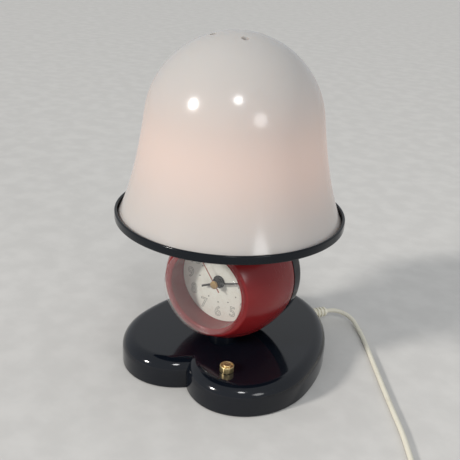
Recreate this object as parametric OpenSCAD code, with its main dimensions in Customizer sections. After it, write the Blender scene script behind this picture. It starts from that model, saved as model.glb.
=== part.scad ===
// Touch lamp with a clock: a two-lobed base, a bulging clock body, a tray and a bell shade.
// Millimetres, +Z up. The clock faces -Y, and the lamp's axis is X = Y = 0 on the resting plane.

/* [Base] */
// Half the width of each front lobe in plan
lobe_r = 61.5; // [59:0.5:65]
// Half the length of each front lobe in plan
lobe_l = 74.5; // [70:0.5:78]
// Distance of each lobe's centre from the middle plane
lobe_x = 39.5; // [36:0.5:42]
// Distance of the lobes' centres in front of the lamp axis
lobe_y = 9; // [6:1:14]
// Distance of the rounded tail's end behind the lamp axis
tail_y = 133; // [122:1:142]
// Height of the base's top face
base_h = 30; // [28:0.5:34]
// Radius of the soft edge round the top face
base_fillet = 12.5; // [9:0.5:13]
// Wall thickness of the base moulding
base_wall = 3; // [2:0.25:4]
// Thickness of the bottom plate
plate_t = 2.5; // [2:0.25:3.5]
// Thickness of the foam pad that the lamp stands on
pad_t = 1.5; // [1:0.25:2.5]
// Diameter of the plate's screws
plate_screw_d = 3; // [2.5:0.25:3.5]
// Length of the plate's screws
plate_screw_l = 12; // [9:0.5:16]

/* [Touch knob] */
// Knob's place to the right of the middle plane
knob_x = 39; // [34:0.5:50]
// Knob's place in front of the lamp axis
knob_y = 56; // [48:0.5:62]
// Knob diameter
knob_d = 13.5; // [11:0.5:16]
// Knob height above the base
knob_h = 7.5; // [6:0.5:11]
// Diameter of the knob's screw
knob_screw_d = 4; // [3:0.5:5]
// Diameter of the insulating bush in the base's top
bush_d = 8; // [7:0.5:10]

/* [Clock] */
// Largest radius of the red clock body
body_r = 61.6; // [58:0.2:64]
// Outer radius of the body's front ring
ring_r = 46; // [45:0.25:48]
// Distance of the front ring in front of the lamp axis
ring_f = 39; // [36:0.5:42]
// Distance of the body's rear edge behind the lamp axis
seam_b = 27; // [24:0.5:30]
// Distance of the body's widest section behind the lamp axis
wide_b = 30; // [24:1:36]
// Wall thickness of the clock body
body_wall = 3; // [2:0.25:3.5]
// Radius of the tube between the front ring and the dial
bore_r = 42.9; // [42:0.1:43.2]
// Wall thickness of that tube
tube_wall = 2.3; // [1.6:0.1:2.6]
// Distance of the dial's face in front of the lamp axis
dial_f = 13.6; // [12:0.2:16]
// Thickness of the dial
dial_t = 1.2; // [0.8:0.1:1.6]
// Width and thickness of the ledge that carries the dial
ledge = 1.7; // [1.4:0.1:2]
// Distance of the lens's front face in front of the lamp axis
lens_f = 44.6; // [42.5:0.1:48]
// Wall thickness of the lens
lens_t = 1.5; // [1.2:0.1:1.8]
// Depth of the lens in the front ring
lens_seat = 5; // [3:0.5:7]
// Distance of the rear cover's back behind the lamp axis
cover_b = 46; // [42:0.5:52]
// Radius of the rear cover's rounded shoulder
cover_fillet = 9; // [6:0.5:12]
// Wall thickness of the rear cover
cover_wall = 2.5; // [2:0.25:3]
// Length of the rear cover's spigot in the body
spigot_l = 5; // [4:0.5:8]
// Radial clearance of the rear cover's spigot
spigot_gap = 0.3; // [0.2:0.05:0.4]
// Gap between the clock's widest section and the base's top
clock_gap = 3.5; // [2:0.1:5]

/* [Movement and hands] */
// Side of the square clock movement
move_w = 56; // [52:1:58]
// Thickness of the movement
move_t = 16; // [15.5:0.5:17]
// Diameter of the movement's threaded bush
shaft_d = 8; // [7.5:0.5:9]
// Length of the threaded bush in front of the dial
shaft_l = 4.6; // [4.2:0.2:5]
// Minutes past the hour that the hands show
minutes = 12; // [0:1:59]
// Hour that the hands show
hours = 8; // [0:1:11]
// Seconds that the second hand shows
seconds = 54; // [0:1:59]
// Length of the hour hand from the axis
hour_l = 18; // [15:0.5:24]
// Length of the minute hand from the axis
minute_l = 29.5; // [26:0.5:36]
// Length of the second hand from the axis
second_l = 35; // [28:0.5:38]
// Thickness of the hands
hand_t = 0.5; // [0.4:0.1:0.8]
// Radial running clearance between the hands' nested arbors
arbor_gap = 0.05; // [0.03:0.01:0.08]
// Diameter of the brass cap on the second hand
cap_d = 8; // [6:0.5:10]
// Battery diameter
cell_d = 14.2; // [13.8:0.1:14.5]
// Battery length
cell_l = 49.5; // [47:0.5:50.5]

/* [Tray and lamp holder] */
// Outer radius of the tray's rim
tray_r = 110; // [104:0.5:118]
// Gap between the clock's widest section and the tray
tray_gap = 3.5; // [3:0.1:8]
// Thickness of the tray's floor
tray_t = 2.5; // [2:0.25:3.5]
// Height of the rim over its whole outside
rim_h = 8.3; // [7:0.1:11]
// Thickness of the rim
rim_t = 2.6; // [2:0.1:3]
// Diameter of the threaded tubes that join base, clock and tray
nipple_d = 10; // [9.5:0.5:10.5]
// Wall thickness of the threaded tubes
nipple_wall = 1.1; // [0.9:0.1:1.5]
// Width across flats of the tube nuts
nut_af = 14; // [13:0.5:15]
// Thickness of the tube nuts
nut_t = 3; // [2.5:0.25:3.5]
// Diameter of the lower collar
lower_collar_d = 30; // [26:1:40]
// Diameter of the upper collar
upper_collar_d = 40; // [30:1:56]
// Outer diameter of the lamp holder
holder_d = 27; // [25:0.5:30]
// Height of the lamp holder above the nut on the tray
holder_h = 40; // [38:1:46]
// Outer diameter of the bulb's screw cap
bulb_cap_d = 13.8; // [13.6:0.1:14]
// Diameter of the bulb's glass
bulb_d = 45; // [38:1:50]

/* [Shade] */
// Height of the shade above the tray's floor
shade_h = 172.3; // [160:0.5:185]
// Radius of the shade's dome
dome_r = 83; // [78:0.5:88]
// Steepness of the wall where the dome ends, in degrees from upright
dome_tilt = 7.4; // [4:0.2:10]
// Steepness of the wall at the mouth, in degrees from upright
mouth_tilt = 24; // [18:1:30]
// Radial gap between the shade's mouth and the tray's rim
mouth_gap = 0.5; // [0.4:0.1:1.5]
// Thickness of the shade's wall
shade_t = 3; // [2:0.25:4]
// Radius of the circle of vent holes in the shade's top
vent_ring_r = 22.7; // [16:0.1:30]
// Diameter of each vent hole
vent_d = 7; // [5:0.5:9]

/* [Cord] */
// Diameter of the cord
cord_d = 5; // [4.6:0.1:5.6]
// Angle on the tail's curve where the cord leaves the base, in degrees
relief_angle = 65; // [55:1:75]
// Height of the cord's outlet
relief_z = 12.5; // [11:0.5:14]
// Length of the strain relief outside the base
relief_l = 21; // [20:1:30]
// Diameter of the strain relief's ribs
relief_d = 12.6; // [10:0.2:13]
// Number of ribs on the strain relief
relief_ribs = 4; // [3:1:5]
// Turns of the coil in each of its two layers
coil_turns = 3.5; // [2.5:0.5:4]
// Gap between neighbouring turns of the coil
coil_gap = 0.6; // [0.6:0.1:1]
// Radius of the coil's innermost turn
coil_in = 20.2; // [20:0.2:26]

/* [Hidden] */
$fn = 64;

gloss_black = [0.04, 0.04, 0.045];
satin_black = [0.08, 0.08, 0.085];
clock_red = [0.55, 0.05, 0.05];
opal = [0.95, 0.93, 0.9];
ivory = [0.87, 0.85, 0.77];
brass = [0.8, 0.62, 0.28];
steel = [0.72, 0.73, 0.74];
cream = [0.92, 0.9, 0.83];

// Base outline: two elliptical lobes in front and half an ellipse behind, all tangent at the widest points
half_w = lobe_x + lobe_r;
tail_b = tail_y + lobe_y;
lobe_steps = 24;
tail_steps = 20;
rim_z = 1;
plate_top = pad_t + plate_t;
plate_gap = 0.4;
boss_d = 8;
boss_inset = base_fillet + boss_d/2 + 1.5;
top_under = base_h - base_wall;

// Heights and distances of the stack on the lamp axis
clock_z = base_h + clock_gap + body_r + 0.4;
cover_r = body_r + 0.4;
seat_gap = 0.05;
arc_span = ring_f + wide_b;
arc_sag = body_r - ring_r;
arc_r = (arc_span*arc_span + arc_sag*arc_sag)/(2*arc_sag);
tray_z = clock_z + cover_r + tray_gap;
tray_floor = tray_z + tray_t;
ledge_front = dial_f - dial_t;
ledge_back = ledge_front - ledge;
move_back = ledge_front - move_t;
nipple_r = nipple_d/2;
hole_gap = 0.2;
body_under = clock_z - body_radius(0);
body_over = clock_z + body_radius(0);
nut_pad = 2.4;
lower_nut_z = body_under + body_wall + nut_pad;
upper_nut_z = body_over - body_wall - nut_pad;
holder_z = tray_floor + nut_t;
holder_top = holder_z + holder_h;
nipple_entry = 8;

function unit(v) = v/norm(v);
function lobe_point(a, d) = [lobe_x + (lobe_r - d)*cos(a), -lobe_y + (lobe_l - d)*sin(a)];
function tail_normal(a) = unit([cos(a)/half_w, sin(a)/tail_b]);
function tail_point(a, d) = [half_w*cos(a), tail_b*sin(a) - lobe_y] - d*tail_normal(a);
function notch_angle(d) = -acos(max(-1, -lobe_x/(lobe_r - d)));
function half_outline(d) = concat(
    [for (i = [0:lobe_steps - 1]) lobe_point(notch_angle(d)*(1 - i/lobe_steps), d)],
    [for (i = [0:tail_steps]) tail_point(90*i/tail_steps, d)]);
function outline(d) = let (h = half_outline(d), n = len(h))
    concat(h, [for (i = [n - 2:-1:1]) [-h[i].x, h[i].y]]);
function level(d, z) = [for (p = outline(d)) [p.x, p.y, z]];

// Distance of the clock body's skin from the clock's axis, f in front of the lamp axis
function body_radius(f) = body_r - arc_r + sqrt(arc_r*arc_r - (f + wide_b)*(f + wide_b));
function arc_points(c, r, a0, a1, n) = [for (i = [0:n]) let (a = a0 + (a1 - a0)*i/n) c + r*[cos(a), sin(a)]];

// Solid between closed rings of points that share one count, lowest ring first
module skin(rings) {
    n = len(rings[0]);
    m = len(rings);
    sides = [for (k = [0:m - 2], i = [0:n - 1], s = [0, 1]) let (j = (i + 1) % n)
        s == 0 ? [k*n + i, (k + 1)*n + i, (k + 1)*n + j] : [k*n + i, (k + 1)*n + j, k*n + j]];
    first = [for (i = [0:n - 1]) i];
    last = [for (i = [n - 1:-1:0]) (m - 1)*n + i];
    polyhedron(points = [for (r = rings, p = r) p], faces = concat([first], sides, [last]), convexity = 8);
}

// Tube through a list of points: its rings are turned as little as possible from one to the next
function tangent(p, i) = unit(p[min(i + 1, len(p) - 1)] - p[max(i - 1, 0)]);
function square_to(u, t) = unit(u - (u*t)*t);
function side_vectors(p, up) = [for (i = 0, u = square_to(up, tangent(p, 0)); i < len(p);
    i = i + 1, u = square_to(u, tangent(p, min(i, len(p) - 1)))) u];
module tube(p, d, sides, up) {
    u = side_vectors(p, up);
    skin([for (i = [0:len(p) - 1]) let (t = tangent(p, i), v = cross(t, u[i]))
        [for (k = [0:sides - 1]) let (a = -360*(k + 0.5)/sides) p[i] + d/2*(cos(a)*u[i] - sin(a)*v)]]);
}
function spline(p, i, t) = let (a = p[max(i - 1, 0)], b = p[i], c = p[i + 1], e = p[min(i + 2, len(p) - 1)])
    0.5*(2*b + (c - a)*t + (2*a - 5*b + 4*c - e)*t*t + (3*b - a - 3*c + e)*t*t*t);
function run(p, n) = let (m = len(p)) concat([p[0]], smooth([for (i = [1:m - 2]) p[i]], n), [p[m - 1]]);
function smooth(p, n) = concat([for (i = [0:len(p) - 2], k = [0:n - 1]) spline(p, i, k/n)], [p[len(p) - 1]]);

// The clock's axis is horizontal: local Z points out of the dial, local Y up
module on_clock() {
    translate([0, 0, clock_z])
        rotate([90, 0, 0])
            children();
}

module hex(af, h) {
    cylinder(d = af/cos(30), h = h, $fn = 6);
}

// Base

module base_pad() {
    color(satin_black)
        linear_extrude(pad_t)
            polygon(outline(base_wall + 1.5));
}

module bottom_plate() {
    color(gloss_black)
        difference() {
            translate([0, 0, pad_t])
                linear_extrude(plate_t)
                    polygon(outline(base_wall + plate_gap));
            at_bosses()
                translate([0, 0, pad_t - 1])
                    cylinder(d = plate_screw_d + 0.4, h = plate_t + 2);
            at_bosses()
                translate([0, 0, pad_t - 0.01])
                    cylinder(d1 = 2*plate_screw_d + 0.4, d2 = plate_screw_d + 0.4, h = plate_screw_d/2);
            for (x = [-1, 1])
                translate([x*dimmer_screw_x, dimmer_y, pad_t - 1])
                    cylinder(d = plate_screw_d + 0.4, h = plate_t + 2);
            for (x = [-1, 1])
                translate([x*dimmer_screw_x, dimmer_y, pad_t - 0.01])
                    cylinder(d1 = 2*plate_screw_d + 0.4, d2 = plate_screw_d + 0.4, h = plate_screw_d/2);
        }
}

// Six screw places, three on each side
boss_places = [for (s = [-1, 1], p = [lobe_point(-128, boss_inset), lobe_point(-15, boss_inset),
    tail_point(48, boss_inset)]) [s*p.x, p.y]];

module at_bosses() {
    for (p = boss_places)
        translate([p.x, p.y, 0])
            children();
}

module countersunk(d, l) {
    cylinder(d = d - 0.1, h = l);
    cylinder(d1 = 2*d, d2 = d - 0.1, h = d/2);
}

module plate_screws() {
    color(steel)
        at_bosses()
            translate([0, 0, pad_t + 0.1])
                countersunk(plate_screw_d, plate_screw_l);
}

// Rings of the base's skin: an upright wall, then a quarter round up to the flat top
function wall_rings(d, z0, z1, r, n) = concat([level(d, z0)],
    [for (i = [0:n]) let (a = 90*i/n) level(d + r*(1 - cos(a)), z1 - r + r*sin(a))]);

module base_shell() {
    color(gloss_black)
        difference() {
            union() {
                difference() {
                    skin(wall_rings(0, rim_z, base_h, base_fillet, 7));
                    skin(wall_rings(base_wall, rim_z - 1, top_under, base_fillet - base_wall, 5));
                }
                at_bosses()
                    translate([0, 0, plate_top])
                        cylinder(d = boss_d, h = top_under - plate_top + 1);
            }
            at_bosses()
                translate([0, 0, plate_top - 1])
                    cylinder(d = plate_screw_d, h = plate_screw_l);
            translate([0, 0, top_under - 1])
                cylinder(r = nipple_r + hole_gap, h = base_wall + 2);
            translate([knob_x, -knob_y, top_under - 1])
                cylinder(d = bush_d, h = base_wall + 2);
            on_relief(-2*base_wall)
                cylinder(d = relief_neck_d + 0.2, h = 3*base_wall);
        }
}

// Touch knob, its screw and the insulating bush

knob_z = base_h + seat_gap;
bush_flange_t = 1.5;
knob_nut_t = 0.8*knob_screw_d;
tag_t = 0.6;
knob_nut_z = top_under - bush_flange_t - tag_t - knob_nut_t;

module touch_knob() {
    r = knob_d/2;
    color(brass)
        translate([knob_x, -knob_y, knob_z])
            difference() {
                rotate_extrude()
                    polygon(concat([[0, 0], [r - 0.6, 0], [r, 0.6]],
                        arc_points([r - 0.7, knob_h - 1.6], 0.7, 0, 150, 6),
                        [[0.75*r, knob_h - 1.8], [0.6*r, knob_h - 1.8]],
                        arc_points([0.58*r - 0.7, knob_h - 0.7], 0.7, 0, 90, 4),
                        [[1.4, knob_h], [0.9, knob_h - 0.4], [0, knob_h - 0.5]]));
                translate([0, 0, -1])
                    cylinder(d = knob_screw_d + 0.1, h = knob_h - 2.5);
            }
}

module knob_screw() {
    color(steel)
        translate([knob_x, -knob_y, knob_nut_z - 2])
            cylinder(d = knob_screw_d, h = knob_z + knob_h - 4 - knob_nut_z + 2);
}

module knob_bush() {
    color(satin_black)
        translate([knob_x, -knob_y, 0])
            difference() {
                union() {
                    translate([0, 0, top_under - bush_flange_t])
                        cylinder(d = bush_d + 6, h = bush_flange_t);
                    translate([0, 0, top_under - 0.5])
                        cylinder(d = bush_d - 0.1, h = base_wall + 0.5);
                }
                translate([0, 0, top_under - bush_flange_t - 1])
                    cylinder(d = knob_screw_d + 0.1, h = base_wall + bush_flange_t + 2);
            }
}

// Hex nut with the soldering tag above it
module knob_nut() {
    color(steel)
        translate([knob_x, -knob_y, knob_nut_z])
            difference() {
                union() {
                    hex(1.75*knob_screw_d, knob_nut_t);
                    translate([0, 0, knob_nut_t])
                        cylinder(d = 2*knob_screw_d, h = tag_t);
                    translate([-1.5, 0, knob_nut_t])
                        cube([3, tag_l, tag_t]);
                }
                translate([0, 0, -1])
                    cylinder(d = knob_screw_d + 0.1, h = knob_nut_t + tag_t + 2);
            }
}
tag_l = 9;

// Touch dimmer in the tail of the base, and the wires that meet it

dimmer = [46, 34, 17];
dimmer_y = 62;
dimmer_screw_x = dimmer.x/2 + 5;
dimmer_wire_z = plate_top + dimmer.z - 5;

module touch_dimmer() {
    color(satin_black)
        difference() {
            union() {
                translate([-dimmer.x/2, dimmer_y - dimmer.y/2, plate_top])
                    cube(dimmer);
                translate([-dimmer_screw_x - 5, dimmer_y - 5, plate_top])
                    cube([2*dimmer_screw_x + 10, 10, 3]);
            }
            for (x = [-1, 1])
                translate([x*dimmer_screw_x, dimmer_y, plate_top - 1])
                    cylinder(d = plate_screw_d, h = 5);
            translate([-dimmer.x/2 + 2, dimmer_y - dimmer.y/2 + 2, plate_top + dimmer.z - 1])
                cube([dimmer.x - 4, dimmer.y - 4, 2]);
        }
}

module dimmer_screws() {
    color(steel)
        for (x = [-1, 1])
            translate([x*dimmer_screw_x, dimmer_y, pad_t + 0.1])
                countersunk(plate_screw_d, plate_t + 3);
}

wire_d = 2;
lead_d = 4.4;
sense_route = [
    [knob_x, tag_l - 1 - knob_y, knob_nut_z + knob_nut_t - wire_d/2],
    [knob_x, tag_l + 3 - knob_y, knob_nut_z + knob_nut_t - wire_d/2],
    [40, -20, 20],
    [26, 14, 17],
    [14, 34, dimmer_wire_z],
    [14, dimmer_y - dimmer.y/2 - 3, dimmer_wire_z],
    [14, dimmer_y - dimmer.y/2, dimmer_wire_z]];

module sense_wire() {
    color(brass)
        tube(run(sense_route, 5), wire_d, 8, [0, 0, 1]);
}

// Two-core lead from the dimmer through both threaded tubes, past the movement's side, to the lamp holder
lead_x = move_w/2 + 9;
lead_route = [
    [-12, dimmer_y - dimmer.y/2, dimmer_wire_z],
    [-12, dimmer_y - dimmer.y/2 - 5, dimmer_wire_z],
    [-7, 16, 11],
    [-1, 3, 14],
    [0, 0, base_h - 11],
    [0, 0, base_h - 3],
    [0, 0, lower_nut_z + 4],
    [-8, 3, lower_nut_z + 12],
    [-lead_x + 9, 6, clock_z - move_w/2 - 4.5],
    [-lead_x, 6, clock_z - move_w/2 + 8.5],
    [-lead_x, 6, clock_z],
    [-lead_x, 6, clock_z + move_w/2 - 8.5],
    [-lead_x + 9, 6, clock_z + move_w/2 + 4.5],
    [-8, 3, upper_nut_z - 12],
    [0, 0, upper_nut_z - 4],
    [0, 0, tray_z - 3],
    [0, 0, holder_z + nipple_entry + 1]];

module lamp_lead() {
    color(ivory)
        tube(run(lead_route, 3), lead_d, 8, [1, 0, 0]);
}

module mains_lead() {
    inner = relief_place(-base_wall - relief_flange_t - 0.4);
    step = relief_place(-base_wall - relief_flange_t - 5);
    color(ivory)
        tube(run([
            inner,
            step,
            [22, 90, relief_z],
            [12, 88, dimmer_wire_z + 1],
            [8, dimmer_y + dimmer.y/2 + 7, dimmer_wire_z],
            [8, dimmer_y + dimmer.y/2, dimmer_wire_z]], 3), lead_d, 8, [0, 0, 1]);
}

// Strain relief, square to the tail's curve

relief_neck_d = 8;
relief_flange_t = 2;
relief_out = tail_normal(relief_angle);
relief_root = tail_point(relief_angle, 0);

function relief_place(l) = [relief_root.x + l*relief_out.x, relief_root.y + l*relief_out.y, relief_z];

module on_relief(l) {
    translate(relief_place(l))
        rotate([0, 90, atan2(relief_out.y, relief_out.x)])
            children();
}

module strain_relief() {
    pitch = (relief_l - 4)/relief_ribs;
    core_r = cord_d/2 + 1.3;
    color(ivory)
        difference() {
            union() {
                on_relief(-base_wall - relief_flange_t - 0.4)
                    cylinder(d = relief_neck_d + 3, h = relief_flange_t);
                on_relief(-base_wall - 0.5)
                    cylinder(d = relief_neck_d, h = base_wall + 1.5);
                on_relief(0.1)
                    cylinder(r1 = core_r + 1, r2 = core_r, h = relief_l - 0.1);
                on_relief(0.1)
                    cylinder(d = relief_d + 1, h = 2.4);
                for (i = [0:relief_ribs - 1])
                    on_relief(4 + i*pitch)
                        cylinder(d1 = relief_d - 0.4*i, d2 = relief_d - 0.4*i - 0.7, h = 0.6*pitch);
            }
            on_relief(relief_l - 3)
                cylinder(d = cord_d + 0.1, h = 4);
        }
}

// Free stretch of the cord: out of the relief, round to the right and forward on the floor

cord_z = cord_d/2 + 0.05;
bend_r = 4.3*cord_d;
bend_centre = relief_place(relief_l + 3) + bend_r*[relief_out.y, -relief_out.x, 0];
bend_from = 90 + atan2(relief_out.y, relief_out.x);
bend_to = 40;
bend = [for (i = [0:6]) let (t = i/6, a = bend_from + (bend_to - bend_from)*t)
    [bend_centre.x + bend_r*cos(a), bend_centre.y + bend_r*sin(a), relief_z - 7.5*t*t*(2 - t)]];
cord_route = [
    [105, 125.5, 3.2],
    [121, 103.5, cord_z],
    [140, 76, cord_z],
    [160, 47, cord_z],
    [181, 17, cord_z],
    [200.5, -10.5, cord_z],
    [214, -32, cord_z],
    [226, -53, cord_z],
    [235, -74, cord_z]];
coil_entry = [238, -92, cord_z];
cord_start = relief_place(relief_l - 3);
cord_points = concat([cord_start, relief_place(relief_l)], bend, smooth(cord_route, 2), [coil_entry]);

module cord() {
    color(ivory)
        tube(cord_points, cord_d, 8, [0, 0, 1]);
}

// Coil: spirals in on the floor, climbs a layer in half a turn at its middle, and spirals out above

plug_t = 13.7;
plug_z = plug_t/2 + 0.05;
coil_pitch = cord_d + coil_gap;
coil_r = coil_in + coil_pitch*coil_turns;
coil_centre = [coil_entry.x + coil_r, coil_entry.y - cord_d];
layer_step = cord_d + coil_gap;
rings_per_turn = 24;
coil_steps = floor(2*coil_turns*rings_per_turn);
function climb(u) = min(1, max(0, (u - coil_turns + 0.25)/0.5));
function coil_point(u) = let (r = coil_r - coil_pitch*(coil_turns - abs(u - coil_turns)), c = climb(u))
    [coil_centre.x - r*cos(360*u), coil_centre.y - r*sin(360*u), cord_z + layer_step*c*c*(3 - 2*c)];
coil_path = [for (i = [0:coil_steps]) coil_point(i/rings_per_turn)];
coil_end = coil_path[coil_steps];
tail_points = smooth([
    coil_end + [0, -8, 0],
    coil_end + [0, -26, -0.3],
    coil_end + [0, -44, plug_z - coil_end.z + 0.4],
    coil_end + [0, -56, plug_z - coil_end.z]], 2);
coil_all = concat([coil_entry], coil_path,
    tail_points, [coil_end + [0, -62, plug_z - coil_end.z]]);

// Least distance between stretches of the tube that are over half a turn apart, less its diameter
self_gap = min([for (i = [0:2:len(coil_all) - 1], j = [i + rings_per_turn/2:1:len(coil_all) - 1])
    norm(coil_all[i] - coil_all[j])]) - cord_d;
echo("least gap of the coil to itself", self_gap);  // cord_coil

module cord_coil() {
    color(ivory)
        tube(coil_all, cord_d, 6, [0, 0, 1]);
}

// Flat two-pin plug that lies on the floor at the coil's outer end

plug_l = 36;
plug_face_w = 35;
plug_back = coil_end.y - 62;
plug_entry_w = 14;
pin_d = 4;
pin_l = 17;
pin_root = 8;
pin_root_d = 3.4;

module plug() {
    color(ivory)
        difference() {
            translate([coil_end.x, plug_back, 0.05])
                linear_extrude(plug_t)
                    polygon([[-plug_entry_w/2, 0], [-plug_entry_w/2, -6], [-plug_face_w/2 + 4, -plug_l + 12],
                        [-plug_face_w/2, -plug_l + 7], [-plug_face_w/2, -plug_l], [plug_face_w/2, -plug_l],
                        [plug_face_w/2, -plug_l + 7], [plug_face_w/2 - 4, -plug_l + 12],
                        [plug_entry_w/2, -6], [plug_entry_w/2, 0]]);
            at_pins()
                translate([0, 0, -pin_root])
                    cylinder(d = pin_root_d, h = pin_root + 1);
        }
}

module at_pins() {
    for (x = [-1, 1])
        translate([coil_end.x + x*9.3, plug_back - plug_l, plug_z])
            rotate([90, 0, 0])
                children();
}

module plug_pins() {
    color(steel)
        at_pins() {
            translate([0, 0, -pin_root])
                cylinder(d = pin_root_d, h = pin_root);
            cylinder(d = pin_d, h = pin_l);
            translate([0, 0, pin_l])
                sphere(d = pin_d, $fn = 32);
        }
}

// Collars, threaded tubes and nuts on the lamp axis

// Solid of the clock body's outside, grown by a gap, without its hollows
module body_solid(gap) {
    on_clock()
        rotate_extrude($fn = 96)
            polygon(concat([[0, ring_f]], [for (i = [0:12]) let (f = ring_f - (ring_f + seam_b)*i/12)
                [body_radius(f) + gap, f]], [[0, -seam_b]]));
}

module lower_collar() {
    color(satin_black)
        difference() {
            translate([0, 0, base_h])
                cylinder(d = lower_collar_d, h = body_r/4);
            body_solid(seat_gap);
            translate([0, 0, base_h - 1])
                cylinder(r = nipple_r + hole_gap, h = body_r/2);
        }
}

module upper_collar() {
    color(satin_black)
        difference() {
            translate([0, 0, tray_z - body_r/4])
                cylinder(d = upper_collar_d, h = body_r/4);
            body_solid(seat_gap);
            translate([0, 0, tray_z - body_r/2])
                cylinder(r = nipple_r + hole_gap, h = body_r);
        }
}

module nipple(z0, z1) {
    color(steel)
        translate([0, 0, z0])
            difference() {
                cylinder(r = nipple_r, h = z1 - z0);
                translate([0, 0, -1])
                    cylinder(r = nipple_r - nipple_wall, h = z1 - z0 + 2);
            }
}

module lower_nipple() {
    nipple(top_under - nut_t - 2, lower_nut_z + nut_t + 2);
}

module upper_nipple() {
    nipple(upper_nut_z - nut_t - 2, holder_z + nipple_entry);
}

module nipple_nuts() {
    color(steel)
        for (z = [top_under - nut_t, lower_nut_z, upper_nut_z - nut_t, tray_floor])
            translate([0, 0, z])
                difference() {
                    hex(nut_af, nut_t);
                    translate([0, 0, -1])
                        cylinder(r = nipple_r + 0.05, h = nut_t + 2);
                }
}

// Clock body: bulging skin joined at its front ring to the straight tube that ends at the dial's ledge

tube_r = bore_r + tube_wall;
lens_r = bore_r + lens_t;
lens_bore_r = lens_r + 0.1;
// Where the skin's inside meets the tube's outside
join_f = -wide_b + sqrt(arc_r*arc_r - (arc_r - body_r + tube_r + body_wall)*(arc_r - body_r + tube_r + body_wall));
// Rounded edge of the front ring: its radius, and the slope of the skin that it runs into
lip = 1.25*(ring_r - lens_bore_r);
lip_a = asin(arc_span/arc_r);
lip_centre = [ring_r - lip*(cos(lip_a) - tan(lip_a)*(1 - sin(lip_a))), ring_f - lip];

module clock_body() {
    n = 20;
    lip_f = lip_centre.y + lip*sin(lip_a);
    skin_line = [for (i = [1:n]) let (f = lip_f - (lip_f + seam_b)*i/n) [body_radius(f), f]];
    cavity = [for (i = [0:n]) let (f = -seam_b + (join_f + seam_b)*i/n) [body_radius(f) - body_wall, f]];
    color(clock_red)
        difference() {
            union() {
                on_clock()
                    rotate_extrude($fn = 96)
                        polygon(concat(arc_points(lip_centre, lip, 90, lip_a, 4), skin_line, cavity,
                            [[tube_r, ledge_back], [bore_r - ledge, ledge_back], [bore_r - ledge, ledge_front],
                            [bore_r, ledge_front], [bore_r, ring_f - lens_seat],
                            [lens_bore_r, ring_f - lens_seat], [lens_bore_r, ring_f]]));
                intersection() {
                    body_solid(-1);
                    for (z = [body_under - 5, upper_nut_z])
                        translate([0, 0, z])
                            cylinder(d = nut_af + 4.5, h = z < clock_z ? lower_nut_z - z : 15);
                }
            }
            cylinder(r = nipple_r + hole_gap, h = 2*clock_z);
        }
}

module clock_lens() {
    e = 2.4;
    color([0.85, 0.9, 0.92, 0.35])
        on_clock()
            rotate_extrude($fn = 96)
                polygon(concat([[0, lens_f]], arc_points([lens_r - e, lens_f - e], e, 90, 0, 6),
                    [[lens_r, ring_f - lens_seat + 0.1], [lens_r - lens_t, ring_f - lens_seat + 0.1]],
                    arc_points([lens_r - e, lens_f - e], e - lens_t, 0, 90, 4), [[0, lens_f - lens_t]]));
}

module dial() {
    color(cream)
        on_clock()
            translate([0, 0, ledge_front])
                difference() {
                    cylinder(r = bore_r - 0.15, h = dial_t, $fn = 96);
                    translate([0, 0, -1])
                        cylinder(d = shaft_d + 0.2, h = dial_t + 2);
                }
}

// Movement: case with an open battery bay, and the nested arbors that carry the hands

bush_top = dial_f + shaft_l;
nut_face = dial_f + 0.7;
hour_r = shaft_d/2 - 1.3;
minute_r = hour_r - 0.75;
second_r = minute_r - 0.75;
cell_y = -move_w/2 + cell_d/2 + 3;
cell_f = move_back + cell_d/2 + 0.5;
arbor_back = move_back + 3;

module movement() {
    color(satin_black)
        on_clock()
            difference() {
                union() {
                    translate([-move_w/2, -move_w/2, move_back])
                        cube([move_w, move_w, move_t]);
                    cylinder(d = shaft_d, h = bush_top);
                }
                for (x = [-1, 1], y = [-1, 1])
                    translate([x*move_w/2, y*move_w/2, move_back - 1])
                        rotate([0, 0, 45])
                            cube([5, 5, 2*move_t + 4], center = true);
                translate([-cell_l/2 - 1, cell_y, cell_f])
                    rotate([0, 90, 0])
                        cylinder(d = cell_d + 0.4, h = cell_l + 2);
                translate([-cell_l/2 - 1, cell_y - cell_d/2 - 0.2, move_back - 1])
                    cube([cell_l + 2, cell_d + 0.4, cell_f - move_back + 1]);
                translate([0, 0, arbor_back])
                    cylinder(r = hour_r + arbor_gap, h = bush_top + 5);
                translate([0, 0, move_back - 1])
                    cylinder(r = knob_arbor_r + arbor_gap, h = 5);
                translate([0, 0, move_back - 1])
                    cylinder(r = set_r + 0.5, h = 2.5);
            }
}
knob_arbor_r = 2;
set_r = 7;

module shaft_washer() {
    color(steel)
        on_clock()
            translate([0, 0, dial_f])
                difference() {
                    cylinder(d = shaft_d + 5, h = nut_face - dial_f);
                    translate([0, 0, -1])
                        cylinder(d = shaft_d + 0.2, h = 3);
                }
}

module shaft_nut() {
    color(steel)
        on_clock()
            translate([0, 0, nut_face])
                difference() {
                    hex(shaft_d + 3, 2.6);
                    translate([0, 0, -1])
                        cylinder(d = shaft_d + 0.1, h = 5);
                }
}

module battery() {
    color([0.1, 0.2, 0.45])
        on_clock()
            translate([-cell_l/2, cell_y, cell_f])
                rotate([0, 90, 0]) {
                    cylinder(d = cell_d, h = cell_l - 1.2);
                    cylinder(d = 5.4, h = cell_l);
                }
}

module battery_contacts() {
    color(steel)
        on_clock()
            for (x = [-1, 1])
                translate([x*(cell_l/2 + 0.5) - 0.3, cell_y - 4, cell_f - 3])
                    cube([0.6, 8, 6]);
}

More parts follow.
